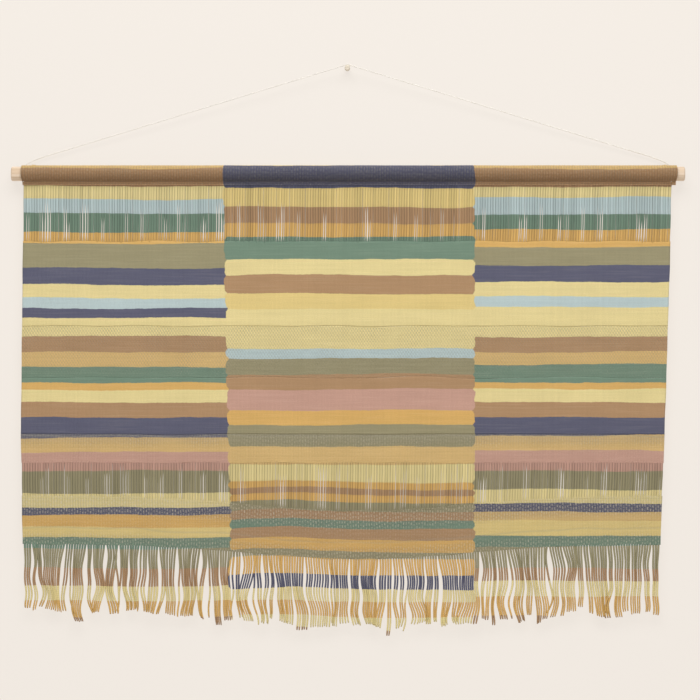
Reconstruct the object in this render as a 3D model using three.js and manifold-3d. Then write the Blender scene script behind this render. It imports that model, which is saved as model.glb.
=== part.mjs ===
// Woven wall hanging on a wooden dowel, hung by a thin cord over a peg in the wall.
// Millimetres, +Z up, +X to the right as one faces the wall, +Y into the wall. The origin is the
// middle of the peg's back face, on the wall's surface. Pieces that would touch keep a small gap.

import * as THREE from 'three';
import { mergeVertices } from 'three/addons/utils/BufferGeometryUtils.js';
import Module from 'manifold-3d';

// Driving dimensions.
const GAP = 0.4;
const FOLD_GAP = 1.2;

const PEG_RADIUS = 3.3;
const PEG_NECK_RADIUS = 3.1;
const PEG_NECK_HALF = 1;
const PEG_LENGTH = 17;
const PEG_EDGE = 1;
const PEG_BORE_RADIUS = 1.2;
const PEG_BORE_DEPTH = 8;
const NAIL_RADIUS = 0.85;
const NAIL_IN_WALL = 16;
const NAIL_POINT = 3;

const CORD_RADIUS = 0.7;
const CORD_SIDES = 8;
const CORD_Y = -12.6;
const CORD_SLOPE = THREE.MathUtils.degToRad(16.86);
const CORD_CLEARANCE = 0.15;
const LOOP_X = 396.8;
const KNOT_RADIUS = 1.8;
const KNOT_TAIL = 9;
const KNOT_TURN = THREE.MathUtils.degToRad(-35);

const ROD_Y = -12.2;
const ROD_Z = -130;
const ROD_RADIUS = 8.75;
const ROD_LENGTH = 825;
const ROD_MIDDLE_X = 0.8;
const ROD_CHAMFER = 1.2;

const POCKET_LEFT = -399.5;
const POCKET_RIGHT = 403.8;
const POCKET_INNER = 9.4;
const POCKET_OUTER = 10.3;
const MOUTH_INNER = 10.5;
const MOUTH_OUTER = 11.3;
const MOUTH_LENGTH = 12;
const MOUTH_FLARE = 8;
const MOUTH_CUT_TOP = THREE.MathUtils.degToRad(120);
const MOUTH_CUT_FOOT = THREE.MathUtils.degToRad(-68);
const MOUTH_CUT_REACH = 30;
const SKIRT_DROP = 0.5;
const SEAM_DROP = 12.2;
const SEAM_HEIGHT = 0.8;
const SEAM_THICKNESS = 0.5;
const SEAM_MARGIN = 4;

const CLOTH_THICKNESS = 2;
const YARN_THICKNESS = 1.4;
const POCKET_FOOT_Z = -143.4;
const UPPER_OPEN_Z = -212;
const WAFFLE_TOP_Z = -316.4;
const WAFFLE_FOOT_Z = -379.5;
const RIB_TOP_Z = -448.7;
const RIB_FOOT_Z = -483.4;
const LOWER_OPEN_Z = -523.5;
const HEM_Z = -583.5;
const FRINGE_Z = -666;
const HEM_SAG = 19;
const HEM_SAG_X = 15;
const HEM_SAG_WIDTH = 180;

// Groups of yarns, and the share of the cloth's width left free at each group's two sides.
const WARP_GROUPS = 8;
const WARP_INSET = 0.001;
const FRINGE_GROUPS = 18;
const FRINGE_INSET = 0.0015;
const FRINGE_STEP_DOWN = 3.5;

// One leg of the cord, from beside the peg to the loop at the dowel's end, on the right-hand side.
// It runs straight, then turns down behind the pocket's mouth.
const CORD_LEG = [
  [4.6, -12.5, 2.7],
  [60, -11.2, -14.1],
  [120, -9.8, -32.2],
  [180, -8.4, -50.4],
  [240, -6.9, -68.6],
  [300, -5.5, -86.8],
  [340, -4.6, -98.9],
  [371, -3.8, -108.3],
  [384, -3.5, -113.1],
  [391, -3.1, -116.5],
  [395, -2.7, -119.3],
  [396.7, -2.5, -121.6],
];

// Where the woven part's two side edges run, as [z, x] points from the pocket down.
const LEFT_EDGE = [
  [-130, -396.5],
  [-450, -400],
  [-720, -396.5],
];
const RIGHT_EDGE = [
  [-130, 398.4],
  [-720, 380.3],
];

const wasm = await Module();
wasm.setup();

function solidOf(geometry) {
  const bare = geometry.clone();
  bare.deleteAttribute('normal');
  bare.deleteAttribute('uv');
  const merged = mergeVertices(bare, 1e-4);
  const vertProperties = new Float32Array(merged.attributes.position.array);
  const triVerts = new Uint32Array(merged.index.array);
  return new wasm.Manifold(new wasm.Mesh({ numProp: 3, vertProperties, triVerts }));
}

function geometryOf(solid) {
  const mesh = solid.getMesh();
  const geometry = new THREE.BufferGeometry();
  geometry.setAttribute('position', new THREE.BufferAttribute(mesh.vertProperties, 3));
  geometry.setIndex(new THREE.BufferAttribute(mesh.triVerts, 1));
  geometry.computeVertexNormals();
  return geometry;
}

// Colour, roughness and metalness of each piece's surface.
const FINISH = {
  wood: [0xe2cdb8, 0.6, 0],
  steel: [0x8c8f92, 0.35, 0.9],
  cord: [0xe9e6df, 0.85, 0],
  yarn: [0xdccf96, 0.9, 0],
  gold: [0xd5af69, 0.9, 0],
  yellow: [0xdfd291, 0.9, 0],
  brown: [0xaf8766, 0.9, 0],
  green: [0x628a76, 0.9, 0],
};

function piece(name, geometry, finish) {
  const [color, roughness, metalness] = FINISH[finish];
  const material = new THREE.MeshStandardMaterial({ color, roughness, metalness });
  const mesh = new THREE.Mesh(geometry, material);
  mesh.name = name;
  return mesh;
}

function mix(a, b, t) {
  return a + (b - a) * t;
}

// Where an edge given as [z, x] points runs at height z.
function edgeAt(edge, z) {
  const i = edge.findIndex((point, k) => k === edge.length - 2 || z >= edge[k + 1][0]);
  const [z0, x0] = edge[i];
  const [z1, x1] = edge[i + 1];
  return mix(x0, x1, (z - z0) / (z1 - z0));
}

// How far the lower part of the cloth hangs below its sides at x.
function sagAt(x) {
  return HEM_SAG * Math.exp(-(((x - HEM_SAG_X) / HEM_SAG_WIDTH) ** 2));
}

// A flat panel standing in the XZ plane, centred on y = 0, from its outline's [x, z] points.
function panel(outline, thickness) {
  const shape = new THREE.Shape(outline.map(([x, z]) => new THREE.Vector2(x, z)));
  const geometry = new THREE.ExtrudeGeometry(shape, { depth: thickness, bevelEnabled: false });
  geometry.translate(0, 0, -thickness / 2);
  geometry.rotateX(Math.PI / 2);
  return geometry;
}

// A strip of cloth between two heights, each a function of x, over the share from..to of the width.
function strip(topAt, footAt, thickness, from = 0, to = 1, steps = 1) {
  const along = (heightAt, t) => {
    const level = heightAt(0);
    const x = mix(edgeAt(LEFT_EDGE, level), edgeAt(RIGHT_EDGE, level), t);
    return [x, heightAt(x)];
  };
  const outline = [];
  for (let i = 0; i <= steps; i++) outline.push(along(footAt, mix(from, to, i / steps)));
  for (let i = steps; i >= 0; i--) outline.push(along(topAt, mix(from, to, i / steps)));
  return panel(outline, thickness);
}

function level(z) {
  return () => z;
}

function sagging(z) {
  return (x) => z - sagAt(x);
}

// The peg: a short turned pin with a shallow neck for the cord and a blind bore for its nail.
function wallPeg() {
  const profile = [
    [0, -PEG_BORE_DEPTH],
    [PEG_BORE_RADIUS, -PEG_BORE_DEPTH],
    [PEG_BORE_RADIUS, 0],
    [PEG_RADIUS, 0],
    [PEG_RADIUS, CORD_Y + 2 * PEG_NECK_HALF],
    [PEG_NECK_RADIUS, CORD_Y + PEG_NECK_HALF],
    [PEG_NECK_RADIUS, CORD_Y - PEG_NECK_HALF],
    [PEG_RADIUS, CORD_Y - 2 * PEG_NECK_HALF],
    [PEG_RADIUS, PEG_EDGE - PEG_LENGTH],
    [PEG_RADIUS - 0.3 * PEG_EDGE, 0.3 * PEG_EDGE - PEG_LENGTH],
    [PEG_RADIUS - PEG_EDGE, -PEG_LENGTH],
    [0, -PEG_LENGTH],
  ];
  const points = profile.map(([radius, y]) => new THREE.Vector2(radius, y)).reverse();
  return piece('wall_peg', new THREE.LatheGeometry(points, 32), 'wood');
}

function pegNail() {
  const profile = [
    [0, GAP - PEG_BORE_DEPTH],
    [NAIL_RADIUS, GAP - PEG_BORE_DEPTH],
    [NAIL_RADIUS, NAIL_IN_WALL - NAIL_POINT],
    [0, NAIL_IN_WALL],
  ];
  const points = profile.map(([radius, y]) => new THREE.Vector2(radius, y));
  return piece('peg_nail', new THREE.LatheGeometry(points, 12), 'steel');
}

// A round tube of cord along a curve.
function cordTube(curve, steps) {
  const section = new THREE.Shape();
  for (let i = 0; i < CORD_SIDES; i++) {
    const turn = (2 * Math.PI * i) / CORD_SIDES;
    const corner = [CORD_RADIUS * Math.cos(turn), CORD_RADIUS * Math.sin(turn)];
    if (i === 0) section.moveTo(...corner);
    else section.lineTo(...corner);
  }
  return new THREE.ExtrudeGeometry(section, { extrudePath: curve, steps, bevelEnabled: false });
}

// The short bend of cord that lies over the peg.
function cordBight() {
  const radius = PEG_NECK_RADIUS + CORD_RADIUS + CORD_CLEARANCE;
  const end = CORD_LEG[0][0] - GAP;
  const tail = (end - radius * Math.sin(CORD_SLOPE)) / Math.cos(CORD_SLOPE);
  const points = [];
  for (const side of [-1, 1]) {
    const straight = [];
    for (const share of [1, 0.5]) {
      const x = radius * Math.sin(CORD_SLOPE) + share * tail * Math.cos(CORD_SLOPE);
      const z = radius * Math.cos(CORD_SLOPE) - share * tail * Math.sin(CORD_SLOPE);
      straight.push(new THREE.Vector3(side * x, CORD_Y, z));
    }
    if (side > 0) straight.reverse();
    points.push(...straight);
    if (side > 0) continue;
    for (const turn of [-1, 0, 1]) {
      const angle = turn * CORD_SLOPE;
      const over = new THREE.Vector3(radius * Math.sin(angle), CORD_Y, radius * Math.cos(angle));
      points.push(over);
    }
  }
  return piece('cord_bight', cordTube(new THREE.CatmullRomCurve3(points), 12), 'cord');
}

function cordLeg(name, side) {
  const points = CORD_LEG.map(([x, y, z]) => new THREE.Vector3(side * x, y, z));
  const curve = new THREE.CatmullRomCurve3(points, false, 'centripetal');
  return piece(name, cordTube(curve, 30), 'cord');
}

// The loop round the dowel, with the end that rises to meet the leg, and the knot behind.
function cordTie(name) {
  const radius = ROD_RADIUS + CORD_RADIUS + CORD_CLEARANCE;
  const ring = new THREE.TorusGeometry(radius, CORD_RADIUS, CORD_SIDES, 36);
  ring.rotateY(Math.PI / 2);
  const [, legY, legZ] = CORD_LEG.at(-1);
  const rise = new THREE.CatmullRomCurve3([
    new THREE.Vector3(0, radius * Math.cos(0.1), radius * Math.sin(0.1)),
    new THREE.Vector3(0, radius - 0.1, 0.6 * (legZ - ROD_Z)),
    new THREE.Vector3(0, legY - ROD_Y, legZ - ROD_Z - GAP),
  ]);
  const knotReach = radius + KNOT_RADIUS - CORD_RADIUS;
  const knotY = knotReach * Math.cos(KNOT_TURN);
  const knotZ = knotReach * Math.sin(KNOT_TURN);
  const knot = new THREE.SphereGeometry(KNOT_RADIUS, 12, 8);
  knot.translate(0, knotY, knotZ);
  const tailEnd = new THREE.CylinderGeometry(CORD_RADIUS, CORD_RADIUS, KNOT_TAIL, CORD_SIDES);
  tailEnd.rotateX(Math.PI / 2);
  tailEnd.translate(0, knotY, knotZ - KNOT_TAIL / 2);
  const rope = solidOf(ring).add(solidOf(cordTube(rise, 8)));
  const tied = rope.add(solidOf(knot)).add(solidOf(tailEnd));
  return piece(name, geometryOf(tied), 'cord');
}

// The dowel, modelled about its own axis, which lies along X.
function dowel() {
  const half = ROD_LENGTH / 2;
  const profile = [
    [0, -half],
    [ROD_RADIUS - ROD_CHAMFER, -half],
    [ROD_RADIUS, ROD_CHAMFER - half],
    [ROD_RADIUS, half - ROD_CHAMFER],
    [ROD_RADIUS - ROD_CHAMFER, half],
    [0, half],
  ];
  const points = profile.map(([radius, along]) => new THREE.Vector2(radius, along));
  const geometry = new THREE.LatheGeometry(points, 36);
  geometry.rotateZ(-Math.PI / 2);
  geometry.translate(ROD_MIDDLE_X, 0, 0);
  return piece('dowel', geometry, 'wood');
}

// What is cut from the back of a pocket mouth, so that the cord's loop can reach the dowel.
function mouthCut(fromX) {
  const rimPoint = (turn) => new THREE.Vector2(Math.cos(turn), Math.sin(turn));
  const shape = new THREE.Shape([
    new THREE.Vector2(0, 0),
    rimPoint(MOUTH_CUT_FOOT).multiplyScalar(MOUTH_CUT_REACH),
    new THREE.Vector2(MOUTH_CUT_REACH, -MOUTH_CUT_REACH),
    new THREE.Vector2(MOUTH_CUT_REACH, MOUTH_CUT_REACH),
    rimPoint(MOUTH_CUT_TOP).multiplyScalar(MOUTH_CUT_REACH),
  ]);
  const depth = MOUTH_LENGTH + GAP;
  const geometry = new THREE.ExtrudeGeometry(shape, { depth, bevelEnabled: false });
  // The shape's x and y turn to Y and Z, and its depth to X.
  geometry.rotateX(Math.PI / 2);
  geometry.rotateZ(Math.PI / 2);
  geometry.translate(fromX, 0, 0);
  return solidOf(geometry);
}

// The sleeve of cloth round the dowel, wider at its mouths, with the foot where its two layers meet.
function rodPocket() {
  const flareLeft = POCKET_LEFT + MOUTH_LENGTH;
  const flareRight = POCKET_RIGHT - MOUTH_LENGTH;
  const profile = [
    [MOUTH_INNER, POCKET_LEFT],
    [MOUTH_OUTER, POCKET_LEFT],
    [MOUTH_OUTER, flareLeft],
    [POCKET_OUTER, flareLeft + MOUTH_FLARE],
    [POCKET_OUTER, flareRight - MOUTH_FLARE],
    [MOUTH_OUTER, flareRight],
    [MOUTH_OUTER, POCKET_RIGHT],
    [MOUTH_INNER, POCKET_RIGHT],
    [MOUTH_INNER, flareRight],
    [POCKET_INNER, flareRight - MOUTH_FLARE],
    [POCKET_INNER, flareLeft + MOUTH_FLARE],
    [MOUTH_INNER, flareLeft],
    [MOUTH_INNER, POCKET_LEFT],
  ];
  const points = profile.map(([radius, along]) => new THREE.Vector2(radius, along));
  const sleeve = new THREE.LatheGeometry(points, 32);
  sleeve.rotateZ(-Math.PI / 2);
  const footTop = -POCKET_INNER - SKIRT_DROP;
  const footHeight = footTop - (POCKET_FOOT_Z - ROD_Z);
  const footWidth = POCKET_RIGHT - POCKET_LEFT - 2 * MOUTH_LENGTH;
  const foot = new THREE.BoxGeometry(footWidth, CLOTH_THICKNESS, footHeight);
  foot.translate((POCKET_LEFT + POCKET_RIGHT) / 2, 0, footTop - footHeight / 2);
  const mouthFootTop = -MOUTH_INNER - GAP;
  const mouthFootHeight = mouthFootTop - (POCKET_FOOT_Z - ROD_Z);
  const width = POCKET_RIGHT - POCKET_LEFT;
  const mouthFoot = new THREE.BoxGeometry(width, CLOTH_THICKNESS, mouthFootHeight);
  mouthFoot.translate((POCKET_LEFT + POCKET_RIGHT) / 2, 0, mouthFootTop - mouthFootHeight / 2);
  const whole = solidOf(sleeve).add(solidOf(foot)).add(solidOf(mouthFoot));
  const cut = whole
    .subtract(mouthCut(POCKET_LEFT - GAP))
    .subtract(mouthCut(POCKET_RIGHT - MOUTH_LENGTH));
  return piece('rod_pocket', geometryOf(cut), 'gold');
}

// The line of stitching that closes the pocket under the dowel.
function pocketSeam() {
  const width = POCKET_RIGHT - POCKET_LEFT - 2 * SEAM_MARGIN;
  const geometry = new THREE.BoxGeometry(width, SEAM_THICKNESS, SEAM_HEIGHT);
  const front = -CLOTH_THICKNESS / 2 - GAP - SEAM_THICKNESS / 2;
  geometry.translate((POCKET_LEFT + POCKET_RIGHT) / 2, front, -SEAM_DROP);
  return piece('pocket_seam', geometry, 'cord');
}

// Groups of bare warp yarns that cross an open band.
function warpGroups(name, topAt, footAt) {
  const groups = [];
  for (let i = 0; i < WARP_GROUPS; i++) {
    const from = i / WARP_GROUPS + WARP_INSET;
    const to = (i + 1) / WARP_GROUPS - WARP_INSET;
    const geometry = strip(topAt, footAt, YARN_THICKNESS, from, to, 4);
    groups.push(piece(`${name}_${i + 1}`, geometry, 'yarn'));
  }
  return groups;
}

// Tassels of loose warp ends below the hem. Neighbours end a little higher or lower.
function fringeGroups() {
  const groups = [];
  for (let i = 0; i < FRINGE_GROUPS; i++) {
    const from = i / FRINGE_GROUPS + FRINGE_INSET;
    const to = (i + 1) / FRINGE_GROUPS - FRINGE_INSET;
    const foot = FRINGE_Z - FRINGE_STEP_DOWN * ((i * 5) % 3);
    const geometry = strip(sagging(HEM_Z - FOLD_GAP), sagging(foot), YARN_THICKNESS, from, to, 3);
    groups.push(piece(`fringe_${String(i + 1).padStart(2, '0')}`, geometry, 'yarn'));
  }
  return groups;
}

const rod = new THREE.Group();
rod.position.set(0, ROD_Y, ROD_Z);
rod.add(dowel(), rodPocket(), pocketSeam());
for (const [name, side] of [['cord_tie_left', -1], ['cord_tie_right', 1]]) {
  const tie = cordTie(name);
  tie.position.x = side * LOOP_X;
  rod.add(tie);
}

const cloth = new THREE.Group();
cloth.position.y = ROD_Y;
const bands = [
  ['plain_upper', UPPER_OPEN_Z - FOLD_GAP, WAFFLE_TOP_Z, 'yellow'],
  ['waffle_band', WAFFLE_TOP_Z - GAP, WAFFLE_FOOT_Z, 'brown'],
  ['plain_lower', WAFFLE_FOOT_Z - GAP, RIB_TOP_Z, 'gold'],
  ['rib_band', RIB_TOP_Z - GAP, RIB_FOOT_Z, 'yellow'],
];
for (const [name, top, foot, finish] of bands) {
  cloth.add(piece(name, strip(level(top), level(foot), CLOTH_THICKNESS), finish));
}
const hemTop = sagging(LOWER_OPEN_Z - GAP);
cloth.add(piece('hem_band', strip(hemTop, sagging(HEM_Z), CLOTH_THICKNESS, 0, 1, 24), 'green'));
cloth.add(...warpGroups('upper_warp', level(POCKET_FOOT_Z - GAP), level(UPPER_OPEN_Z)));
cloth.add(...warpGroups('lower_warp', level(RIB_FOOT_Z - FOLD_GAP), sagging(LOWER_OPEN_Z)));
cloth.add(...fringeGroups());

const hanging = new THREE.Group();
hanging.add(wallPeg(), pegNail(), cordBight(), cordLeg('cord_left', -1), cordLeg('cord_right', 1));
hanging.add(rod, cloth);

export default hanging;
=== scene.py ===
"""A woven wall hanging: printed cotton cloth with two open bands and a fringe, on a wooden dowel
that hangs by a thin cord over a peg. Everything is in metres, in the CAD frame."""

import math

import bpy
import numpy as np
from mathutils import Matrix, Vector


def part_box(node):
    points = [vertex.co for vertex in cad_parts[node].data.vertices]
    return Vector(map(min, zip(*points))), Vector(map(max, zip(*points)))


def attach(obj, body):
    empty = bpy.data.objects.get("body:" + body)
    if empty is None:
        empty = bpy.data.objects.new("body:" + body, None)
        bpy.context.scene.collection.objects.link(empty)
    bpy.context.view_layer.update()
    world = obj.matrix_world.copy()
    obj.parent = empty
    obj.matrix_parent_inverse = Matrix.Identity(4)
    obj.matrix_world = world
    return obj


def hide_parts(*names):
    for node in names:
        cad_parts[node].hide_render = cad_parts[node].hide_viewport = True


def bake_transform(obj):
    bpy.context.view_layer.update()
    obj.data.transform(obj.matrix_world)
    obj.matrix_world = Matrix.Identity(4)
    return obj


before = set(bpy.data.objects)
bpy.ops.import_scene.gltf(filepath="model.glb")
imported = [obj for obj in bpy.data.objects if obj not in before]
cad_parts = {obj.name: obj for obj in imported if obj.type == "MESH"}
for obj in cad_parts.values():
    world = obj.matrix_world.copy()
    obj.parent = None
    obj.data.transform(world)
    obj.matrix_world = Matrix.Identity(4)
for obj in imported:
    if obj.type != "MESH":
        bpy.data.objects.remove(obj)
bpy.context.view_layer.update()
rod_low, rod_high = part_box("dowel")

MM = 0.001
TURN = 2 * math.pi

# The dowel, whose axis lies in the cloth's plane.
CLOTH_Y = (rod_low.y + rod_high.y) / 2
ROD_Z = (rod_low.z + rod_high.z) / 2
ROD_RADIUS = (rod_high.z - rod_low.z) / 2

# Camera, wall and floor.
VIEW_WIDTH = 0.8575
VIEW_MIDDLE = (0.0032, -0.3458)
LENS = 200
SENSOR = 36
CAMERA_REACH = 50
FLOOR_Z = -1.35
WALL_TOP = 1.8
STAGE_REACH = 5.0
LIT_POINT = (0, 0, -0.36)
DAYLIGHT = (1.0, 0.995, 0.985, 1)
DAYLIGHT_STRENGTH = 0.375

# Cord: the route of one leg, on the right, and what it is made of.
CORD_LEG = [
    (0.0046, -0.0125, 0.0027),
    (0.060, -0.0112, -0.0141),
    (0.120, -0.0098, -0.0322),
    (0.180, -0.0084, -0.0504),
    (0.240, -0.0069, -0.0686),
    (0.300, -0.0055, -0.0868),
    (0.340, -0.0046, -0.0989),
    (0.371, -0.0038, -0.1083),
    (0.384, -0.0035, -0.1131),
    (0.391, -0.0031, -0.1165),
    (0.395, -0.0027, -0.1193),
    (0.3967, -0.0025, -0.1216),
]
CORD_RADIUS = 0.7 * MM
CORD_PLIES = 3
CORD_TWIST = 4.6 * MM
PLY_SHARE = 0.55
PLY_SIDES = 6
ROPE_STEP = 0.9 * MM

# The cord's loops round the dowel, with their knots behind and below it.
LOOP_GAP = 0.15 * MM
KNOT_OUT = 1.1 * MM
KNOT_TURN = math.radians(-35)

# Peg and dowel. A turned outline starts and ends AXIS_RADIUS off its axis.
AXIS_RADIUS = 0.02 * MM
NAIL_HOLE_RADIUS = 1.2 * MM
NAIL_HOLE_DEPTH = 8 * MM
NECK_DEPTH = 0.25 * MM
NECK_FLAT = 0.9 * MM
NECK_HALF = 2 * MM
DOWEL_CHAMFER = 1.3 * MM

# Weave: spacings, and how far each band's threads stand out.
YARN_PITCH = 3.25 * MM
CLOTH_HALF = 0.6 * MM
RIB_PITCH = 3.25 * MM
PICK_PITCH = 2.7 * MM
PIP_HEIGHT = 5.2 * MM
WAFFLE_WIDTH = 3.5 * MM
WAFFLE_HEIGHT = 5.2 * MM
PLAIN_LIFT = 0.10 * MM
WAFFLE_LIFT = 0.5 * MM
RIB_LIFT = 0.24 * MM
PICK_LIFT = 0.14 * MM
HEM_RIB_LIFT = 0.30 * MM
HEM_PICK_LIFT = 0.15 * MM
PICK_LINE_DEPTH = 0.25 * MM
PLAIN_PICK = 1.3 * MM
COARSE_PICK = 1.6 * MM
FLATTEN_REACH = 3.0 * MM
FINE_STEP = (0.75 * MM, 0.95 * MM)
PLAIN_STEP = (2.0 * MM, 2.0 * MM)

# Bare yarns and fringe. Some clumps of the fringe are combed out, and some are longer.
WARP_GROUPS = 8
FRINGE_GROUPS = 18
YARN_TUCK = 2.5 * MM
FRINGE_SIDE_SHADE = 0.34
COMBED_SHARE = 0.4
LONG_SHARE = 0.12
LONG_BY = 7 * MM

# Painted colours, as they look in plain light.
PAINT = {
    "yellow": (222, 206, 148),
    "straw": (219, 196, 130),
    "gold": (208, 176, 118),
    "orange": (211, 170, 101),
    "brown": (171, 137, 102),
    "olive": (150, 143, 112),
    "navy": (91, 92, 112),
    "blue": (180, 197, 198),
    "green": (113, 137, 119),
    "pink": (192, 152, 136),
}
UNDYED = (226, 216, 196)
# Undyed thread in shade, painted into the weave's hollows as painted shade.
HOLLOW_SHADE = (184, 178, 160)

# Other finishes.
CORD_WHITE = (233, 229, 222)
CORD_SOILED = (224, 219, 210)
# Painted shade between the cord's plies.
CORD_PLY_SHADE = (186, 178, 165)
STEEL_DARK = (150, 152, 154)
STEEL_BRIGHT = (196, 197, 198)
PEG_WOOD = ((219, 210, 194), (202, 192, 175))
DOWEL_WOOD = ((229, 211, 191), (196, 169, 138))
WALL_PAINT = (240, 233, 225)
FLOOR_PAINT = (238, 232, 225)

# Each panel's stripes from the pocket's top edge down: colour and height in millimetres.
LEFT_PANEL = """gold 4, brown 21.2, yellow 15.8, blue 19, green 21, orange 14.5, olive 29.5, navy 20.5,
 yellow 17.5, blue 11.5, navy 12, yellow 22.5, brown 20, gold 18, green 19.5, orange 9, yellow 15,
 brown 18, navy 25, gold 17.5, pink 23, olive 27.5, yellow 17, navy 9, orange 15.5, straw 13,
 green 13.5, olive 23.5, brown 21.5, yellow 19, orange 21, brown 20"""
MIDDLE_PANEL = """straw 1.2, navy 26.8, straw 23, brown 19.5, orange 17, green 28, yellow 19.2,
 brown 22.2, straw 18.4, yellow 49.7, blue 11, olive 20, brown 18.5, pink 25, orange 18, olive 27.5,
 gold 21, yellow 22.5, orange 8.5, brown 8, orange 8, olive 12, brown 10.5, green 10.5, brown 13,
 orange 14, olive 8.5, orange 21, navy 17.5, yellow 15.5, orange 17.5, yellow 16, brown 20"""
RIGHT_PANEL = """gold 5, brown 21.7, yellow 12.8, blue 20.5, green 19, orange 21.5, olive 22, navy 20.5,
 yellow 17.5, blue 12, yellow 38, brown 18.5, gold 14.5, green 22, orange 8.5, yellow 16, brown 18,
 navy 22.5, gold 19, pink 24.5, olive 23, yellow 17.5, navy 9.5, gold 11, straw 18.5, green 12.5,
 olive 26.5, brown 16.5, yellow 19.5, orange 23, brown 20"""

# Where the panels meet. The left-hand edge leans, and is in its own place at LEAN_FROM_Z.
PANEL_EDGES = (-0.1485, 0.1560)
LEFT_EDGE_LEAN = 0.020
LEAN_FROM_Z = -0.35
PRINT_TOP = -0.1192

# How the paint strays: how far its edges wander, slowly and quickly, and how stripe ends are cut
# back, as (nearness to a stripe's edge, how much shorter the stripe is there).
SLOW_WANDER = 0.0066
BRISK_WANDER = 0.0026
ROUGH_WANDER = 0.0012
SIDE_WANDER = 0.006
END_ROUNDING = ((0.0012, 0.0011), (0.0028, 0.0009))

# The middle panel's lower stripes rise a little left of the middle.
BULGE_X = -0.080
BULGE_REACH = 0.060
BULGE_RISE = 0.0035


# ---------------------------------------------------------------- small helpers


def linear(rgb):
    """A colour given in 8-bit display values, as Blender's linear RGBA."""
    shares = [value / 255 for value in rgb]
    return [s / 12.92 if s <= 0.04045 else ((s + 0.055) / 1.055) ** 2.4 for s in shares] + [1.0]


def smooth_step(t):
    t = np.clip(t, 0.0, 1.0)
    return t * t * (3 - 2 * t)


def gentle(x, z, seed, across, down, waves=5):
    """An uneven wave between about -1 and 1, with crests about `across` and `down` apart."""
    draw = np.random.default_rng(seed)
    total = np.zeros(np.broadcast(x, z).shape)
    for _ in range(waves):
        turn_x = TURN / across * draw.uniform(0.5, 1.5) * draw.choice((-1, 1))
        turn_z = TURN / down * draw.uniform(0.3, 1.5)
        total += np.sin(turn_x * x + turn_z * z + draw.uniform(0, TURN))
    return total * 1.5 / waves


def node_points(name):
    """The corner points of a CAD node, in the row frame."""
    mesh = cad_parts[name].data
    points = np.empty(len(mesh.vertices) * 3, np.float32)
    mesh.vertices.foreach_get("co", points)
    return points.reshape(-1, 3).astype(float)


def build_mesh(name, points, faces, attributes=None, flat_rims=0):
    """An object from numpy points and quads with its point attributes, shaded smooth but for the
    last `flat_rims` quads."""
    mesh = bpy.data.meshes.new(name)
    mesh.vertices.add(len(points))
    mesh.vertices.foreach_set("co", np.ascontiguousarray(points, np.float32).ravel())
    mesh.loops.add(faces.size)
    mesh.loops.foreach_set("vertex_index", np.ascontiguousarray(faces, np.int32).ravel())
    mesh.polygons.add(len(faces))
    mesh.polygons.foreach_set("loop_start", np.arange(0, faces.size, faces.shape[1], dtype=np.int32))
    mesh.update(calc_edges=True)
    mesh.polygons.foreach_set("use_smooth", np.arange(len(faces)) < len(faces) - flat_rims)
    for key, values in (attributes or {}).items():
        kind = "FLOAT_VECTOR" if values.ndim == 2 else "FLOAT"
        made = mesh.attributes.new(key, kind, "POINT")
        field = "vector" if values.ndim == 2 else "value"
        made.data.foreach_set(field, np.ascontiguousarray(values, np.float32).ravel())
    obj = bpy.data.objects.new(name, mesh)
    bpy.context.scene.collection.objects.link(obj)
    return obj


def grid_quads(rows, columns, start=0, flip=False):
    """Quads over a grid of points numbered along its rows, facing -Y when rows run down."""
    i, j = np.meshgrid(np.arange(rows - 1), np.arange(columns - 1), indexing="ij")
    corner = (start + i * columns + j).ravel()
    quads = np.stack([corner, corner + columns, corner + columns + 1, corner + 1], 1)
    return quads[:, ::-1] if flip else quads


def closed_sheet(front, back):
    """All quads of a thin sheet: its front, the same behind, `back` numbers on, and its rims."""
    after = np.roll(front, -1, axis=1)
    ahead = front.astype(np.int64) * 2 * back + after
    behind = after.astype(np.int64) * 2 * back + front
    rim = ~np.isin(ahead, behind)
    start, end = front[rim], after[rim]
    rims = np.stack([end, start, start + back, end + back], 1)
    return np.concatenate([front, front[:, ::-1] + back, rims])


def ring_walls(steps, sides):
    """Quads between rings of points, numbered round each ring and then ring after ring."""
    i, j = np.meshgrid(np.arange(steps - 1), np.arange(sides), indexing="ij")
    after = (j + 1) % sides
    here, below = i * sides, (i + 1) * sides
    return np.stack([here + j, below + j, below + after, here + after], -1).reshape(-1, 4)


def tube_quads(steps, sides, count=1, flip=False):
    """Quads of some closed tubes, their ends capped, one tube's points after another's."""
    last = (steps - 1) * sides
    caps = []
    for k in range(1, sides - 2, 2):
        caps.append([0, k, k + 1, k + 2])
        caps.append([last, last + k + 2, last + k + 1, last + k])
    each = np.concatenate([ring_walls(steps, sides), np.array(caps)])
    if flip:
        each = each[:, [0, 3, 2, 1]]
    return (each[None] + steps * sides * np.arange(count)[:, None, None]).reshape(-1, 4)


def tubes(paths, wide, deep, sides):
    """Upright tubes, one for each path of points that runs down, with level rings that reach `wide`
    across and `deep` in depth. Returns points, quads, and each point's turn round its tube."""
    strands, steps = paths.shape[:2]
    angle = TURN * (np.arange(sides) + 0.5) / sides
    ring = np.zeros((strands, steps, sides, 3))
    ring[..., 0] = wide[:, :, None] * np.cos(angle)
    ring[..., 1] = deep[:, :, None] * np.sin(angle)
    points = (paths[:, :, None, :] + ring).reshape(-1, 3)
    turns = np.broadcast_to(angle, (strands, steps, sides))
    return points, tube_quads(steps, sides, strands), turns


# ---------------------------------------------------------------- node groups and materials


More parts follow.
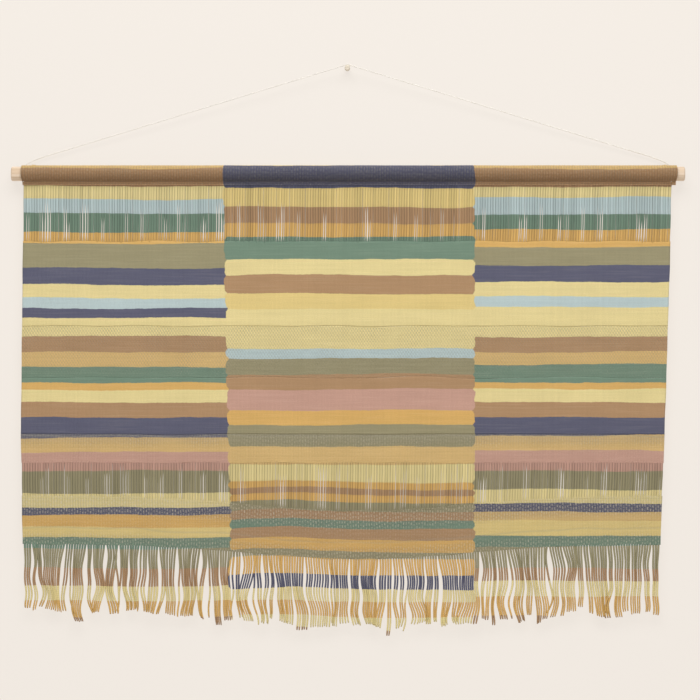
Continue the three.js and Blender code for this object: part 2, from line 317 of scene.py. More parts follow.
class Tree:
    """A short way to add and join nodes in one node tree."""

    def __init__(self, tree):
        self.tree = tree

    def add(self, kind, **settings):
        node = self.tree.nodes.new(kind)
        for key, value in settings.items():
            setattr(node, key, value)
        return node

    def join(self, source, target):
        self.tree.links.new(source, target)

    def feed(self, socket, value):
        if isinstance(value, bpy.types.NodeSocket):
            self.join(value, socket)
        else:
            socket.default_value = value

    def math(self, operation, a, b=0.0, c=0.0, clamp=False):
        node = self.add("ShaderNodeMath", operation=operation, use_clamp=clamp)
        for socket, value in zip(node.inputs, (a, b, c)):
            self.feed(socket, value)
        return node.outputs[0]

    def mix(self, factor, a, b, blend="MIX"):
        node = self.add("ShaderNodeMix", data_type="RGBA", blend_type=blend)
        for socket, value in zip((node.inputs[0], node.inputs[6], node.inputs[7]), (factor, a, b)):
            self.feed(socket, value)
        return node.outputs[2]

    def noise(self, place, scale, detail=2.0, roughness=0.5):
        node = self.add("ShaderNodeTexNoise")
        self.join(place, node.inputs["Vector"])
        node.inputs["Scale"].default_value = scale
        node.inputs["Detail"].default_value = detail
        node.inputs["Roughness"].default_value = roughness
        return node.outputs[0]

    def stretch(self, place, x, y, z, shift=(0.0, 0.0, 0.0)):
        node = self.add("ShaderNodeMapping")
        self.join(place, node.inputs["Vector"])
        node.inputs["Scale"].default_value = (x, y, z)
        node.inputs["Location"].default_value = shift
        return node.outputs[0]

    def split(self, place):
        node = self.add("ShaderNodeSeparateXYZ")
        self.join(place, node.inputs[0])
        return node.outputs

    def range(self, value, low, high, to_low=0.0, to_high=1.0, smooth=False):
        node = self.add("ShaderNodeMapRange")
        node.interpolation_type = "SMOOTHSTEP" if smooth else "LINEAR"
        self.join(value, node.inputs["Value"])
        ends = {"From Min": low, "From Max": high, "To Min": to_low, "To Max": to_high}
        for name, number in ends.items():
            node.inputs[name].default_value = number
        return node.outputs["Result"]

    def stray(self, value, noise, reach):
        """The value, moved either way by a noise."""
        return self.math("MULTIPLY_ADD", self.math("SUBTRACT", noise, 0.5), reach, value)

    def scale(self, colour, factor):
        node = self.add("ShaderNodeVectorMath", operation="SCALE")
        self.join(colour, node.inputs[0])
        self.join(factor, node.inputs["Scale"])
        return node.outputs[0]

    def lot(self, number):
        """A random value between 0 and 1 of each whole number's own."""
        node = self.add("ShaderNodeTexWhiteNoise", noise_dimensions="1D")
        self.join(number, node.inputs["W"])
        return node.outputs["Value"]

    def value(self, name):
        return self.add("ShaderNodeAttribute", attribute_name=name).outputs["Fac"]

    def print_place(self):
        return self.add("ShaderNodeAttribute", attribute_name="print_place").outputs["Vector"]

    def own_place(self):
        return self.add("ShaderNodeTexCoord").outputs["Object"]

    def group(self, group, **values):
        node = self.add("ShaderNodeGroup")
        node.node_tree = group
        for key, value in values.items():
            self.feed(node.inputs[key.replace("_", " ")], value)
        return node.outputs


def new_group(name, inputs, outputs):
    """An empty node group with its sockets, its Tree, and its input and output nodes."""
    group = bpy.data.node_groups.new(name, "ShaderNodeTree")
    for title, kind, default in inputs:
        socket = group.interface.new_socket(title, in_out="INPUT", socket_type=kind)
        if default is not None:
            socket.default_value = default
    for title, kind in outputs:
        group.interface.new_socket(title, in_out="OUTPUT", socket_type=kind)
    tree = Tree(group)
    return group, tree, tree.add("NodeGroupInput"), tree.add("NodeGroupOutput")


def stripe_ramp(tree, height, stripes, top, foot):
    """A stepped ramp over the height from top down to foot, one step for each painted stripe."""
    node = tree.add("ShaderNodeValToRGB")
    node.color_ramp.interpolation = "CONSTANT"
    steps = node.color_ramp.elements
    steps.remove(steps[1])
    for k, (edge, paint) in enumerate(stripes):
        step = steps.new((top - edge) / (top - foot)) if k else steps[0]
        step.color = linear(PAINT[paint])
    tree.join(tree.range(height, top, foot), node.inputs[0])
    return node.outputs[0]


def panel_colour(tree, height, text):
    """The painted colour of one panel at a height. A ramp holds 32 steps at most, so two share it."""
    stripes, edge = [], PRINT_TOP
    for entry in text.replace("\n", " ").split(","):
        paint, tall = entry.split()
        stripes.append((edge, paint))
        edge -= float(tall) * MM
    half = len(stripes) // 2
    middle = stripes[half][0]
    upper = stripe_ramp(tree, height, stripes[:half], PRINT_TOP, middle)
    lower = stripe_ramp(tree, height, stripes[half:], middle, edge)
    return tree.mix(tree.math("LESS_THAN", height, middle), upper, lower)


def near_stripe_edge(tree, height, text, reach):
    """1 within `reach` of an edge between two stripes, and 0 elsewhere."""
    above = panel_colour(tree, tree.math("ADD", height, reach), text)
    below = panel_colour(tree, tree.math("SUBTRACT", height, reach), text)
    apart = tree.add("ShaderNodeVectorMath", operation="DISTANCE")
    tree.join(above, apart.inputs[0])
    tree.join(below, apart.inputs[1])
    return tree.math("GREATER_THAN", apart.outputs["Value"], 0.001)


def painted_stripes():
    """The print: three panels of hand-painted stripes with unsteady edges and streaky paint."""
    group, tree, source, sink = new_group(
        "painted_stripes",
        [("Place", "NodeSocketVector", None), ("Streaks", "NodeSocketFloat", 0.1)],
        [("Colour", "NodeSocketColor"), ("Dry", "NodeSocketFloat")],
    )
    place = source.outputs["Place"]
    x, _, z = tree.split(place)
    slow = tree.noise(tree.stretch(place, 6.5, 1, 26), 1.0, 1.0)
    brisk = tree.noise(tree.stretch(place, 38, 1, 60, (3.1, 0, 1.7)), 1.0, 2.0)
    rough = tree.noise(tree.stretch(place, 420, 1, 500, (1.3, 0, 5.2)), 1.0, 2.0)
    height = z
    for wave, reach in ((slow, SLOW_WANDER), (brisk, BRISK_WANDER), (rough, ROUGH_WANDER)):
        height = tree.stray(height, wave, reach)
    away = tree.math("MULTIPLY_ADD", x, 1 / BULGE_REACH, -BULGE_X / BULGE_REACH)
    bulge = tree.math("EXPONENT", tree.math("MULTIPLY", tree.math("MULTIPLY", away, away), -1.0))
    bulge = tree.math("MULTIPLY", bulge, tree.range(z, -0.47, -0.53, 0.0, -BULGE_RISE, smooth=True))
    height = tree.math("ADD", height, bulge)
    sway = tree.noise(tree.stretch(place, 2, 1, 70, (7.7, 0, 2.2)), 1.0, 1.0)
    side = tree.stray(tree.stray(x, sway, SIDE_WANDER), rough, ROUGH_WANDER)
    left = panel_colour(tree, height, LEFT_PANEL)
    middle = panel_colour(tree, height, MIDDLE_PANEL)
    right = panel_colour(tree, height, RIGHT_PANEL)
    ends = 0.0
    for reach, depth in END_ROUNDING:
        near = near_stripe_edge(tree, height, MIDDLE_PANEL, reach)
        ends = tree.math("MULTIPLY_ADD", near, depth, ends)
    lean = tree.math("MULTIPLY_ADD", z, LEFT_EDGE_LEAN, -LEAN_FROM_Z * LEFT_EDGE_LEAN)
    from_left = tree.math("ADD", tree.math("SUBTRACT", side, ends), lean)
    from_right = tree.math("ADD", side, ends)
    inner = tree.mix(tree.math("GREATER_THAN", from_left, PANEL_EDGES[0]), left, middle)
    paint = tree.mix(tree.math("GREATER_THAN", from_right, PANEL_EDGES[1]), inner, right)
    streak = tree.noise(tree.stretch(place, 16, 1, 520), 1.0, 3.0, 0.6)
    cloud = tree.noise(tree.stretch(place, 14, 1, 40, (0.4, 0, 9.1)), 1.0, 3.0)
    tone = tree.math("ADD", tree.math("SUBTRACT", streak, 0.5), tree.math("SUBTRACT", cloud, 0.5))
    tone = tree.math("MULTIPLY_ADD", tone, source.outputs["Streaks"], 1.0)
    tree.join(tree.scale(paint, tone), sink.inputs["Colour"])
    tree.join(tree.range(streak, 0.5, 0.72), sink.inputs["Dry"])
    return group


def plain_weave():
    """Over-and-under threads: their height, the pits between them, and each thread's own tone."""
    group, tree, source, sink = new_group(
        "plain_weave",
        [
            ("Place", "NodeSocketVector", None),
            ("Warp Count", "NodeSocketFloat", 600.0),
            ("Weft Count", "NodeSocketFloat", 750.0),
        ],
        [("Height", "NodeSocketFloat"), ("Pits", "NodeSocketFloat"), ("Tone", "NodeSocketFloat")],
    )
    place = source.outputs["Place"]
    x, _, z = tree.split(place)
    stray = tree.noise(tree.stretch(place, 90, 1, 90), 1.0, 2.0)
    u = tree.math("MULTIPLY", x, source.outputs["Warp Count"])
    v = tree.math("MULTIPLY", z, source.outputs["Weft Count"])
    u = tree.math("MULTIPLY_ADD", stray, 1.6, u)
    v = tree.math("MULTIPLY_ADD", stray, -1.9, v)
    rounds = []
    for along in (u, v):
        centred = tree.math("MULTIPLY_ADD", tree.math("FRACT", along), 2.0, -1.0)
        rounds.append(tree.math("SUBTRACT", 1.0, tree.math("MULTIPLY", centred, centred)))
    cells = tree.math("ADD", tree.math("FLOOR", u), tree.math("FLOOR", v))
    over = tree.math("FRACT", tree.math("MULTIPLY_ADD", cells, 0.5, 0.25))
    over = tree.math("GREATER_THAN", over, 0.5)
    soft = [tree.math("MULTIPLY_ADD", bulge, 0.5, 0.5) for bulge in rounds]
    warp_up = tree.math("MULTIPLY", rounds[0], soft[1])
    weft_up = tree.math("MULTIPLY", rounds[1], soft[0])
    height = tree.math("MULTIPLY_ADD", over, tree.math("SUBTRACT", warp_up, weft_up), weft_up)
    fluff = tree.noise(tree.stretch(place, 2600, 1, 2600), 1.0, 2.0)
    tree.join(tree.math("MULTIPLY_ADD", fluff, 0.25, height), sink.inputs["Height"])
    tree.join(tree.range(height, 0.28, 0.02), sink.inputs["Pits"])
    warp_tone = tree.lot(tree.math("FLOOR", u))
    weft_tone = tree.lot(tree.math("FLOOR", v))
    difference = tree.math("SUBTRACT", warp_tone, weft_tone)
    tree.join(tree.math("MULTIPLY_ADD", over, difference, weft_tone), sink.inputs["Tone"])
    return group


def spun_yarn():
    """The twist of a spun thread: slanting plies and loose hairs."""
    group, tree, source, sink = new_group(
        "spun_yarn",
        [("Place", "NodeSocketVector", None), ("Twist Count", "NodeSocketFloat", 700.0)],
        [("Height", "NodeSocketFloat"), ("Hollow", "NodeSocketFloat")],
    )
    place = source.outputs["Place"]
    x, _, z = tree.split(place)
    slant = tree.math("MULTIPLY_ADD", x, 0.8, z)
    wave = tree.math("SINE", tree.math("MULTIPLY", slant, source.outputs["Twist Count"]))
    hair = tree.noise(tree.stretch(place, 3200, 3200, 700), 1.0, 3.0)
    height = tree.math("MULTIPLY_ADD", hair, 0.9, tree.math("MULTIPLY", wave, 0.5))
    tree.join(height, sink.inputs["Height"])
    tree.join(tree.range(wave, 0.0, -1.0), sink.inputs["Hollow"])
    return group


def undyed_pips():
    """Where an undyed thread shows as short pale dashes between two ribs."""
    group, tree, source, sink = new_group(
        "undyed_pips", [("Place", "NodeSocketVector", None)], [("Pips", "NodeSocketFloat")]
    )
    place = source.outputs["Place"]
    x, _, z = tree.split(place)
    stray = tree.noise(tree.stretch(place, 60, 1, 110, (5.1, 0, 0.8)), 1.0, 2.0)
    across = tree.math("MULTIPLY_ADD", x, 1 / RIB_PITCH, tree.math("MULTIPLY", stray, 0.7))
    own = tree.lot(tree.math("FLOOR", across))
    down = tree.math("MULTIPLY_ADD", own, TURN, tree.math("MULTIPLY", z, TURN / PIP_HEIGHT))
    from_middle = tree.math("ABSOLUTE", tree.math("SUBTRACT", tree.math("FRACT", across), 0.5))
    line = tree.range(from_middle, 0.28, 0.10)
    dash = tree.range(tree.math("COSINE", down), -0.9, 0.0)
    patchy = tree.noise(tree.stretch(place, 330, 1, 420, (8.2, 0, 3.3)), 1.0, 2.0)
    some = tree.range(patchy, 0.32, 0.62, 0.0, 0.62)
    tree.join(tree.math("MULTIPLY", tree.math("MULTIPLY", line, dash), some), sink.inputs["Pips"])
    return group


def wood_grain():
    """Straight pale grain along X, with fine pores and faint darker lines."""
    group, tree, source, sink = new_group(
        "wood_grain",
        [
            ("Place", "NodeSocketVector", None),
            ("Pale", "NodeSocketColor", (1, 1, 1, 1)),
            ("Dark", "NodeSocketColor", (0.5, 0.4, 0.3, 1)),
        ],
        [("Colour", "NodeSocketColor"), ("Height", "NodeSocketFloat")],
    )
    place = source.outputs["Place"]
    bend = tree.noise(tree.stretch(place, 5, 60, 60), 1.0, 2.0)
    lines = tree.noise(tree.stretch(place, 9, 900, 900, (0.3, 0.2, 0.1)), 1.0, 4.0, 0.65)
    pores = tree.noise(tree.stretch(place, 160, 4200, 4200), 1.0, 2.0)
    grain = tree.math("MULTIPLY_ADD", bend, 0.55, tree.math("MULTIPLY", lines, 0.75))
    grain = tree.range(grain, 0.45, 0.85, smooth=True)
    dark_pores = tree.range(pores, 0.62, 0.8)
    amount = tree.math("MAXIMUM", grain, tree.math("MULTIPLY", dark_pores, 0.45))
    tree.join(tree.mix(amount, source.outputs["Pale"], source.outputs["Dark"]), sink.inputs["Colour"])
    raised = tree.math("MULTIPLY", lines, 0.4)
    tree.join(tree.math("MULTIPLY_ADD", dark_pores, -0.6, raised), sink.inputs["Height"])
    return group


STRIPES = painted_stripes()
WEAVE = plain_weave()
YARN = spun_yarn()
PIPS = undyed_pips()
GRAIN = wood_grain()


def new_material(name, roughness=0.85, sheen=0.0):
    """A matt material, its Tree and its shader."""
    material = bpy.data.materials.new(name)
    material.use_nodes = True
    tree = Tree(material.node_tree)
    shader = material.node_tree.nodes["Principled BSDF"]
    shader.inputs["Roughness"].default_value = roughness
    shader.inputs["Specular IOR Level"].default_value = 0.25
    shader.inputs["Sheen Weight"].default_value = sheen
    shader.inputs["Sheen Roughness"].default_value = 0.5
    return material, tree, shader


def bump(tree, shader, height, depth):
    node = tree.add("ShaderNodeBump")
    node.inputs["Strength"].default_value = 1.0
    node.inputs["Distance"].default_value = depth
    tree.join(height, node.inputs["Height"])
    tree.join(node.outputs[0], shader.inputs["Normal"])


def printed_colour(tree, place, streaks):
    """The print where it took, and undyed cotton at the back and where little paint got through."""
    paint = tree.group(STRIPES, Place=place, Streaks=streaks)
    took = tree.value("print_strength")
    return tree.mix(took, linear(UNDYED), paint["Colour"]), paint["Dry"]


def cloth_material(name, weft_count, depth, pit_shade):
    """Printed weave at a given weft count: little paint and light reach the hollows between yarns."""
    material, tree, shader = new_material(name, sheen=0.06)
    place = tree.print_place()
    colour, dry = printed_colour(tree, place, 0.16)
    weave = tree.group(WEAVE, Place=place, Warp_Count=2 / YARN_PITCH, Weft_Count=weft_count)
    fleck = tree.noise(tree.stretch(place, 620, 1, 760, (2.2, 0, 4.1)), 1.0, 1.0)
    hollow = tree.value("hollow")
    open_weave = tree.value("open_weave")
    painted_light_and_shade = tree.value("painted_light_and_shade")
    pale = tree.mix(tree.math("MULTIPLY", dry, 0.05), colour, linear(UNDYED))
    # Undyed thread shows in the hollows in a shaded colour: partly bare thread, partly painted shade.
    flecked = tree.range(fleck, 0.35, 0.60, 0.20, 0.52)
    bare = tree.math("MULTIPLY", tree.range(hollow, 0.0, 0.9), flecked)
    pale = tree.mix(bare, pale, linear(HOLLOW_SHADE))
    pips = tree.math("MULTIPLY", tree.group(PIPS, Place=place)["Pips"], open_weave)
    pale = tree.mix(pips, pale, linear(UNDYED))
    # Painted shade: a gamma darkens and deepens the colour where the painted light and shade is low.
    painted_shade_gamma = tree.add("ShaderNodeGamma")
    tree.join(pale, painted_shade_gamma.inputs["Color"])
    tree.join(tree.range(painted_light_and_shade, 0.55, 1.0, 1.25, 1.0), painted_shade_gamma.inputs["Gamma"])
    thread_tone = tree.range(weave["Tone"], 0.0, 1.0, 0.97, 1.03)
    tone = tree.math("ADD", thread_tone, tree.range(fleck, 0.3, 0.7, -0.03, 0.03))
    # Painted shade in the weave's pits, in the hollows and in open weave, painted light on raised
    # threads, and the painted light and shade of each point.
    dark = tree.math("MULTIPLY_ADD", weave["Pits"], -pit_shade, 1.0)
    sunk = tree.range(hollow, -1.0, 1.0, 1.12, 0.84)
    shaded = tree.math("MULTIPLY", sunk, painted_light_and_shade)
    shade = tree.math("MULTIPLY", tree.math("MULTIPLY", tone, dark), shaded)
    shade = tree.math("MULTIPLY", shade, tree.math("MULTIPLY_ADD", open_weave, -0.10, 1.0))
    tree.join(tree.scale(painted_shade_gamma.outputs[0], shade), shader.inputs["Base Color"])
    tree.join(tree.range(weave["Height"], 0.0, 1.2, 0.95, 0.8), shader.inputs["Roughness"])
    bump(tree, shader, weave["Height"], depth)
    return material


def yarn_material(name, streaks):
    """Printed bare yarn, with painted shade between its plies and from each point's tone and shade."""
    material, tree, shader = new_material(name, sheen=0.15)
    place = tree.print_place()
    colour, _ = printed_colour(tree, place, streaks)
    yarn = tree.group(YARN, Place=place, Twist_Count=2600.0)
    # Painted shade between the plies, times each point's tone and painted shade.
    painted_ply_shade = tree.range(yarn["Hollow"], 0.0, 1.0, 1.0, 0.86)
    shade = tree.math("MULTIPLY", tree.value("yarn_tone_and_shade"), painted_ply_shade)
    tree.join(tree.scale(colour, shade), shader.inputs["Base Color"])
    tree.join(tree.range(yarn["Height"], -0.5, 1.4, 0.97, 0.82), shader.inputs["Roughness"])
    bump(tree, shader, yarn["Height"], 0.12 * MM)
    return material


def cord_material():
    """White cotton with a little soil, and painted shade between its plies."""
    material, tree, shader = new_material("white_cotton_cord", sheen=0.15)
    place = tree.own_place()
    yarn = tree.group(YARN, Place=place, Twist_Count=5200.0)
    soil = tree.noise(tree.stretch(place, 60, 60, 60), 1.0, 3.0)
    soiled = tree.range(soil, 0.35, 0.75)
    colour = tree.mix(soiled, linear(CORD_WHITE), linear(CORD_SOILED))
    # Painted shade between the plies.
    colour = tree.mix(tree.math("MULTIPLY", yarn["Hollow"], 0.15), colour, linear(CORD_PLY_SHADE))
    tree.join(colour, shader.inputs["Base Color"])
    tree.join(tree.range(soil, 0.2, 0.8, 0.8, 0.95), shader.inputs["Roughness"])
    bump(tree, shader, yarn["Height"], 0.06 * MM)
    return material


def wood_material(name, pale, dark, gloss):
    """Bare wood, a little smoother along its raised grain."""
    material, tree, shader = new_material(name, roughness=gloss)
    grain = tree.group(GRAIN, Place=tree.own_place(), Pale=linear(pale), Dark=linear(dark))
    tree.join(grain["Colour"], shader.inputs["Base Color"])
    rough = tree.range(grain["Height"], -0.5, 0.5, gloss + 0.1, gloss - 0.08)
    tree.join(rough, shader.inputs["Roughness"])
    bump(tree, shader, grain["Height"], 0.05 * MM)
    return material


def steel_material():
    """Drawn steel wire, streaked along the nail."""
    material, tree, shader = new_material("nail_steel", roughness=0.35)
    shader.inputs["Metallic"].default_value = 1.0
    drawn = tree.noise(tree.stretch(tree.own_place(), 4000, 60, 4000), 1.0, 3.0)
    tree.join(tree.mix(drawn, linear(STEEL_DARK), linear(STEEL_BRIGHT)), shader.inputs["Base Color"])
    tree.join(tree.range(drawn, 0.3, 0.7, 0.28, 0.45), shader.inputs["Roughness"])
    return material


def seen_from_front(name, colour, grain, glow):
    """A matt stage surface that can't be seen from behind and lets lamps through. Its own faint
    glow, a share of its colour, keeps shadows on it soft."""
    material, tree, shader = new_material(name, roughness=0.9)
    cloud = tree.range(tree.noise(tree.own_place(), grain, 3.0), 0.35, 0.65)
    lit = [c * (1 - glow) for c in linear(colour)[:3]]
    near = [c * 0.985 for c in lit]
    tree.join(tree.mix(cloud, lit + [1.0], near + [1.0]), shader.inputs["Base Color"])
    shader.inputs["Emission Color"].default_value = linear(colour)
    shader.inputs["Emission Strength"].default_value = glow
    clear = tree.add("ShaderNodeBsdfTransparent")
    geometry = tree.add("ShaderNodeNewGeometry")
    path = tree.add("ShaderNodeLightPath")
    hidden = tree.math("MAXIMUM", geometry.outputs["Backfacing"], path.outputs["Is Shadow Ray"])
    either = tree.add("ShaderNodeMixShader")
    tree.join(hidden, either.inputs[0])
    tree.join(shader.outputs[0], either.inputs[1])
    tree.join(clear.outputs[0], either.inputs[2])
    tree.join(either.outputs[0], material.node_tree.nodes["Material Output"].inputs["Surface"])
    return material


def dress(obj, material):
    obj.data.materials.clear()
    obj.data.materials.append(material)
    return obj


# ---------------------------------------------------------------- camera and cord first


def make_camera():
    """A long lens straight in front, far enough off to see the whole view's width at the cloth."""
    data = bpy.data.cameras.new("camera")
    data.lens = LENS
    data.sensor_width = SENSOR
    data.clip_end = CAMERA_REACH
    camera = bpy.data.objects.new("camera", data)
    away = VIEW_WIDTH * LENS / SENSOR
    camera.location = (VIEW_MIDDLE[0], CLOTH_Y - away, VIEW_MIDDLE[1])
    camera.rotation_euler = (math.pi / 2, 0, 0)
    bpy.context.scene.collection.objects.link(camera)
    bpy.context.scene.camera = camera


def distance_along(path):
    """How far along a path each of its points lies."""
    return np.concatenate([[0], np.cumsum(np.linalg.norm(np.diff(path, axis=0), axis=1))])


def even_path(points, step):
    """A smooth path through the points, with its own points about `step` apart."""
    points = np.array(points, float)
    before = 2 * points[0] - points[1]
    after = 2 * points[-1] - points[-2]
    padded = np.vstack([before, points, after])
    fine = []
    for k in range(len(points) - 1):
        p0, p1, p2, p3 = padded[k : k + 4]
        for t in np.arange(0, 1, 0.02):
            a = 2 * p1 + (p2 - p0) * t
            b = (2 * p0 - 5 * p1 + 4 * p2 - p3) * t**2
            c = (3 * p1 - p0 - 3 * p2 + p3) * t**3
            fine.append(0.5 * (a + b + c))
    fine = np.array(fine + [points[-1]])
    along = distance_along(fine)
    wanted = np.linspace(0, along[-1], max(2, int(round(along[-1] / step)) + 1))
    return np.stack([np.interp(wanted, along, fine[:, k]) for k in range(3)], 1)


def path_frames(path):
    """Two directions square to the path at each point, carried along it without twisting."""
    ahead = np.gradient(path, axis=0)
    ahead /= np.linalg.norm(ahead, axis=1, keepdims=True)
    side = np.cross(ahead[0], (0, 0, 1.0))
    if np.linalg.norm(side) < 0.1:
        side = np.cross(ahead[0], (0, 1.0, 0))
    sides = []
    for direction in ahead:
        side = side - direction * (side @ direction)
        side /= np.linalg.norm(side)
        sides.append(side)
    sides = np.array(sides)
    return sides, np.cross(ahead, sides)


def laid_rope(path, radius):
    """Points and quads of a laid rope along a path: plies that wind round each other."""
    side, up = path_frames(path)
    along = distance_along(path)
    ply_radius = radius * PLY_SHARE
    lay_radius = radius - ply_radius
    angle = TURN * np.arange(PLY_SIDES) / PLY_SIDES
    ring = np.cos(angle)[None, :, None] * side[:, None] + np.sin(angle)[None, :, None] * up[:, None]
    plies = []
    for ply in range(CORD_PLIES):
        turn = TURN * (along / CORD_TWIST + ply / CORD_PLIES)
        middle = path + lay_radius * (np.cos(turn)[:, None] * side + np.sin(turn)[:, None] * up)
        plies.append((middle[:, None] + ply_radius * ring).reshape(-1, 3))
    return np.concatenate(plies), tube_quads(len(path), PLY_SIDES, CORD_PLIES, flip=True)


def cord_route():
    """The whole free cord, from the left-hand loop over the peg to the right-hand loop."""
    bight_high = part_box("cord_bight")[1]
    top = Vector((0, CORD_LEG[0][1] - 0.1 * MM, bight_high.z - CORD_RADIUS))
    right = [Vector(point) for point in CORD_LEG]
    left = [Vector((-point.x, point.y, point.z)) for point in reversed(right)]
    beside, drop = 1.2 * MM, 0.18 * MM
    over = [Vector((-beside, top.y, top.z - drop)), top, Vector((beside, top.y, top.z - drop))]
    return left + over + right


def make_cord():
    """The free cord, as a laid rope in place of the CAD cord's pieces."""
    path = even_path(cord_route(), ROPE_STEP)
    points, quads = laid_rope(path, CORD_RADIUS)
    cord = dress(build_mesh("hanging_cord", points, quads), CORD_FINISH)
    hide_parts("cord_bight", "cord_left", "cord_right")
    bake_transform(cord)
    return cord, path


def loop_round_dowel(side, x, radius):
    """One turn of the cord round the dowel, with the stretch that rises from it to the cord's leg."""
    start = TURN * 0.03
    turns = np.linspace(start, start - TURN, 60)
    sideways = x + side * np.linspace(-0.5, 0.5, 60) * CORD_RADIUS * 1.4
    loop = np.stack([sideways, CLOTH_Y + radius * np.cos(turns), ROD_Z + radius * np.sin(turns)], 1)
    leg_end = np.array(CORD_LEG[-1]) * (side, 1, 1)
    half_way = (leg_end + loop[0]) / 2 + np.array((0, 0.3 * MM, 0))
    route = np.vstack([[leg_end, half_way], loop[::3], loop[-1:]])
    return laid_rope(even_path(route, ROPE_STEP), CORD_RADIUS)


def small_knot(centre):
    """The coils of a small knot, drawn tight."""
    wrap = np.linspace(0, TURN * 2.2, 46)
    x = centre[0] + np.linspace(-1.1, 1.1, 46) * MM
    y = centre[1] + 0.75 * MM * np.cos(wrap)
    z = centre[2] + 1.0 * MM * np.sin(wrap)
    coil = np.stack([x, y, z], 1)
    return laid_rope(even_path(coil[::3], 0.5 * MM), CORD_RADIUS * 0.92)


def short_tail(knot):
    """The cord's cut end, which hangs from the knot."""
    route = [knot, knot + (0.2 * MM, 0.3 * MM, -4 * MM), knot + (0.9 * MM, -0.2 * MM, -8.6 * MM)]
    return laid_rope(even_path(route, ROPE_STEP), CORD_RADIUS * 0.9)


def make_tie(name, node, side):
    """The cord's loop round the dowel's end, its knot and short tail."""
    low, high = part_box(node)
    x = (low.x + high.x) / 2
    radius = ROD_RADIUS + CORD_RADIUS + LOOP_GAP
    out = radius + KNOT_OUT
    knot = np.array((x, CLOTH_Y + out * math.cos(KNOT_TURN), ROD_Z + out * math.sin(KNOT_TURN)))
    points, quads, count = [], [], 0
    shapes = (loop_round_dowel(side, x, radius), small_knot(knot), short_tail(knot))
    for some_points, some_quads in shapes:
        points.append(some_points)
        quads.append(some_quads + count)
        count += len(some_points)
    tie = dress(build_mesh(name, np.concatenate(points), np.concatenate(quads)), CORD_FINISH)
    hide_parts(node)
    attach(tie, "cord_legs")
    return tie


make_camera()
CORD_FINISH = cord_material()
cord, cord_path = make_cord()
tie_left = make_tie("cord_loop_left", "cord_tie_left", -1)
tie_right = make_tie("cord_loop_right", "cord_tie_right", 1)


# ---------------------------------------------------------------- peg and dowel


def turned(name, profile, segments, along, material, jitter=0.0):
    """A turned piece from [radius, place along its axis] points, about the Y or X axis through 0."""
    profile = np.array(profile, float)
    angle = TURN * np.arange(segments) / segments
    radius = profile[:, 0][:, None] * np.ones(segments)
    place = profile[:, 1][:, None] * np.ones(segments)
    radius = radius * (1 + jitter * gentle(place, angle[None] * 0.02, 5, 0.35, 0.05))
    a, b = radius * np.cos(angle), radius * np.sin(angle)
    points = np.stack([a, place, b] if along == "Y" else [place, a, b], -1).reshape(-1, 3)
    quads = ring_walls(len(profile), segments)
    if along == "X":
        quads = quads[:, ::-1]
    return dress(build_mesh(name, points, quads), material)


def rounded_profile(corners, reach, steps=4):
    """A [radius, place] outline with its corners rounded by `reach`."""
    corners = np.array(corners, float)
    outline = [corners[0]]
    for before, corner, after in zip(corners, corners[1:], corners[2:]):
        back = before - corner
        ahead = after - corner
        short = min(reach, np.linalg.norm(back) / 2, np.linalg.norm(ahead) / 2)
        start = corner + back / np.linalg.norm(back) * short
        end = corner + ahead / np.linalg.norm(ahead) * short
        for t in np.linspace(0, 1, steps):
            outline.append((1 - t) ** 2 * start + 2 * t * (1 - t) * corner + t**2 * end)
    outline.append(corners[-1])
    return outline


def make_peg():
    """The turned peg: a hole behind for its nail, a shallow neck for the cord and a bevelled face."""
    low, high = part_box("wall_peg")
    radius = (high.x - low.x) / 2
    neck = CORD_LEG[0][1]
    profile = [
        (AXIS_RADIUS, -NAIL_HOLE_DEPTH),
        (NAIL_HOLE_RADIUS, -NAIL_HOLE_DEPTH),
        (NAIL_HOLE_RADIUS, high.y),
        (radius, high.y),
        (radius, neck + NECK_HALF),
        (radius - NECK_DEPTH, neck + NECK_FLAT),
        (radius - NECK_DEPTH, neck - NECK_FLAT),
        (radius, neck - NECK_HALF),
        (radius, low.y + 0.7 * MM),
        (radius - 0.8 * MM, low.y),
        (AXIS_RADIUS, low.y),
    ]
    peg = turned("wall_peg_turned", rounded_profile(profile, 0.35 * MM), 48, "Y", PEG_FINISH)
    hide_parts("wall_peg")
    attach(peg, "wall_peg_body")
    dress(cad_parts["peg_nail"], steel_material())


def make_dowel():
    """A dowel with chamfered ends, very slightly uneven along its length."""
    left, right = rod_low.x, rod_high.x
    corners = [
        (AXIS_RADIUS, left),
        (ROD_RADIUS - DOWEL_CHAMFER, left),
        (ROD_RADIUS, left + DOWEL_CHAMFER),
        (ROD_RADIUS, right - DOWEL_CHAMFER),
        (ROD_RADIUS - DOWEL_CHAMFER, right),
        (AXIS_RADIUS, right),
    ]
    outline = rounded_profile(corners, 0.5 * MM)
    middle = len(outline) // 2
    stations = np.linspace(left + 4 * MM, right - 4 * MM, 60)
    outline[middle:middle] = [np.array((ROD_RADIUS, x)) for x in stations]
    dowel = turned("wooden_dowel", outline, 56, "X", DOWEL_FINISH, jitter=0.006)
    dowel.location = (0, CLOTH_Y, ROD_Z)
    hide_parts("dowel")
    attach(dowel, "dowel_body")


PEG_FINISH = wood_material("pale_peg_wood", *PEG_WOOD, 0.5)
DOWEL_FINISH = wood_material("pale_dowel_wood", *DOWEL_WOOD, 0.6)
make_peg()
make_dowel()


# ---------------------------------------------------------------- the cloth's shape


BANDS = ("plain_upper", "waffle_band", "plain_lower", "rib_band", "hem_band")


def side_edge(sign):
    """Where a side edge runs: heights and places across, from the bands' own corners."""
    corners = set()
    for name in BANDS:
        points = node_points(name)
        reach = points[:, 0] * sign
        for x, _, z in points[reach > reach.max() - 4.5 * MM]:
            corners.add((round(z, 5), round(x, 5)))
    heights, places = np.array(sorted(corners)).T
    return heights, places


LEFT_EDGE = side_edge(-1)
RIGHT_EDGE = side_edge(1)


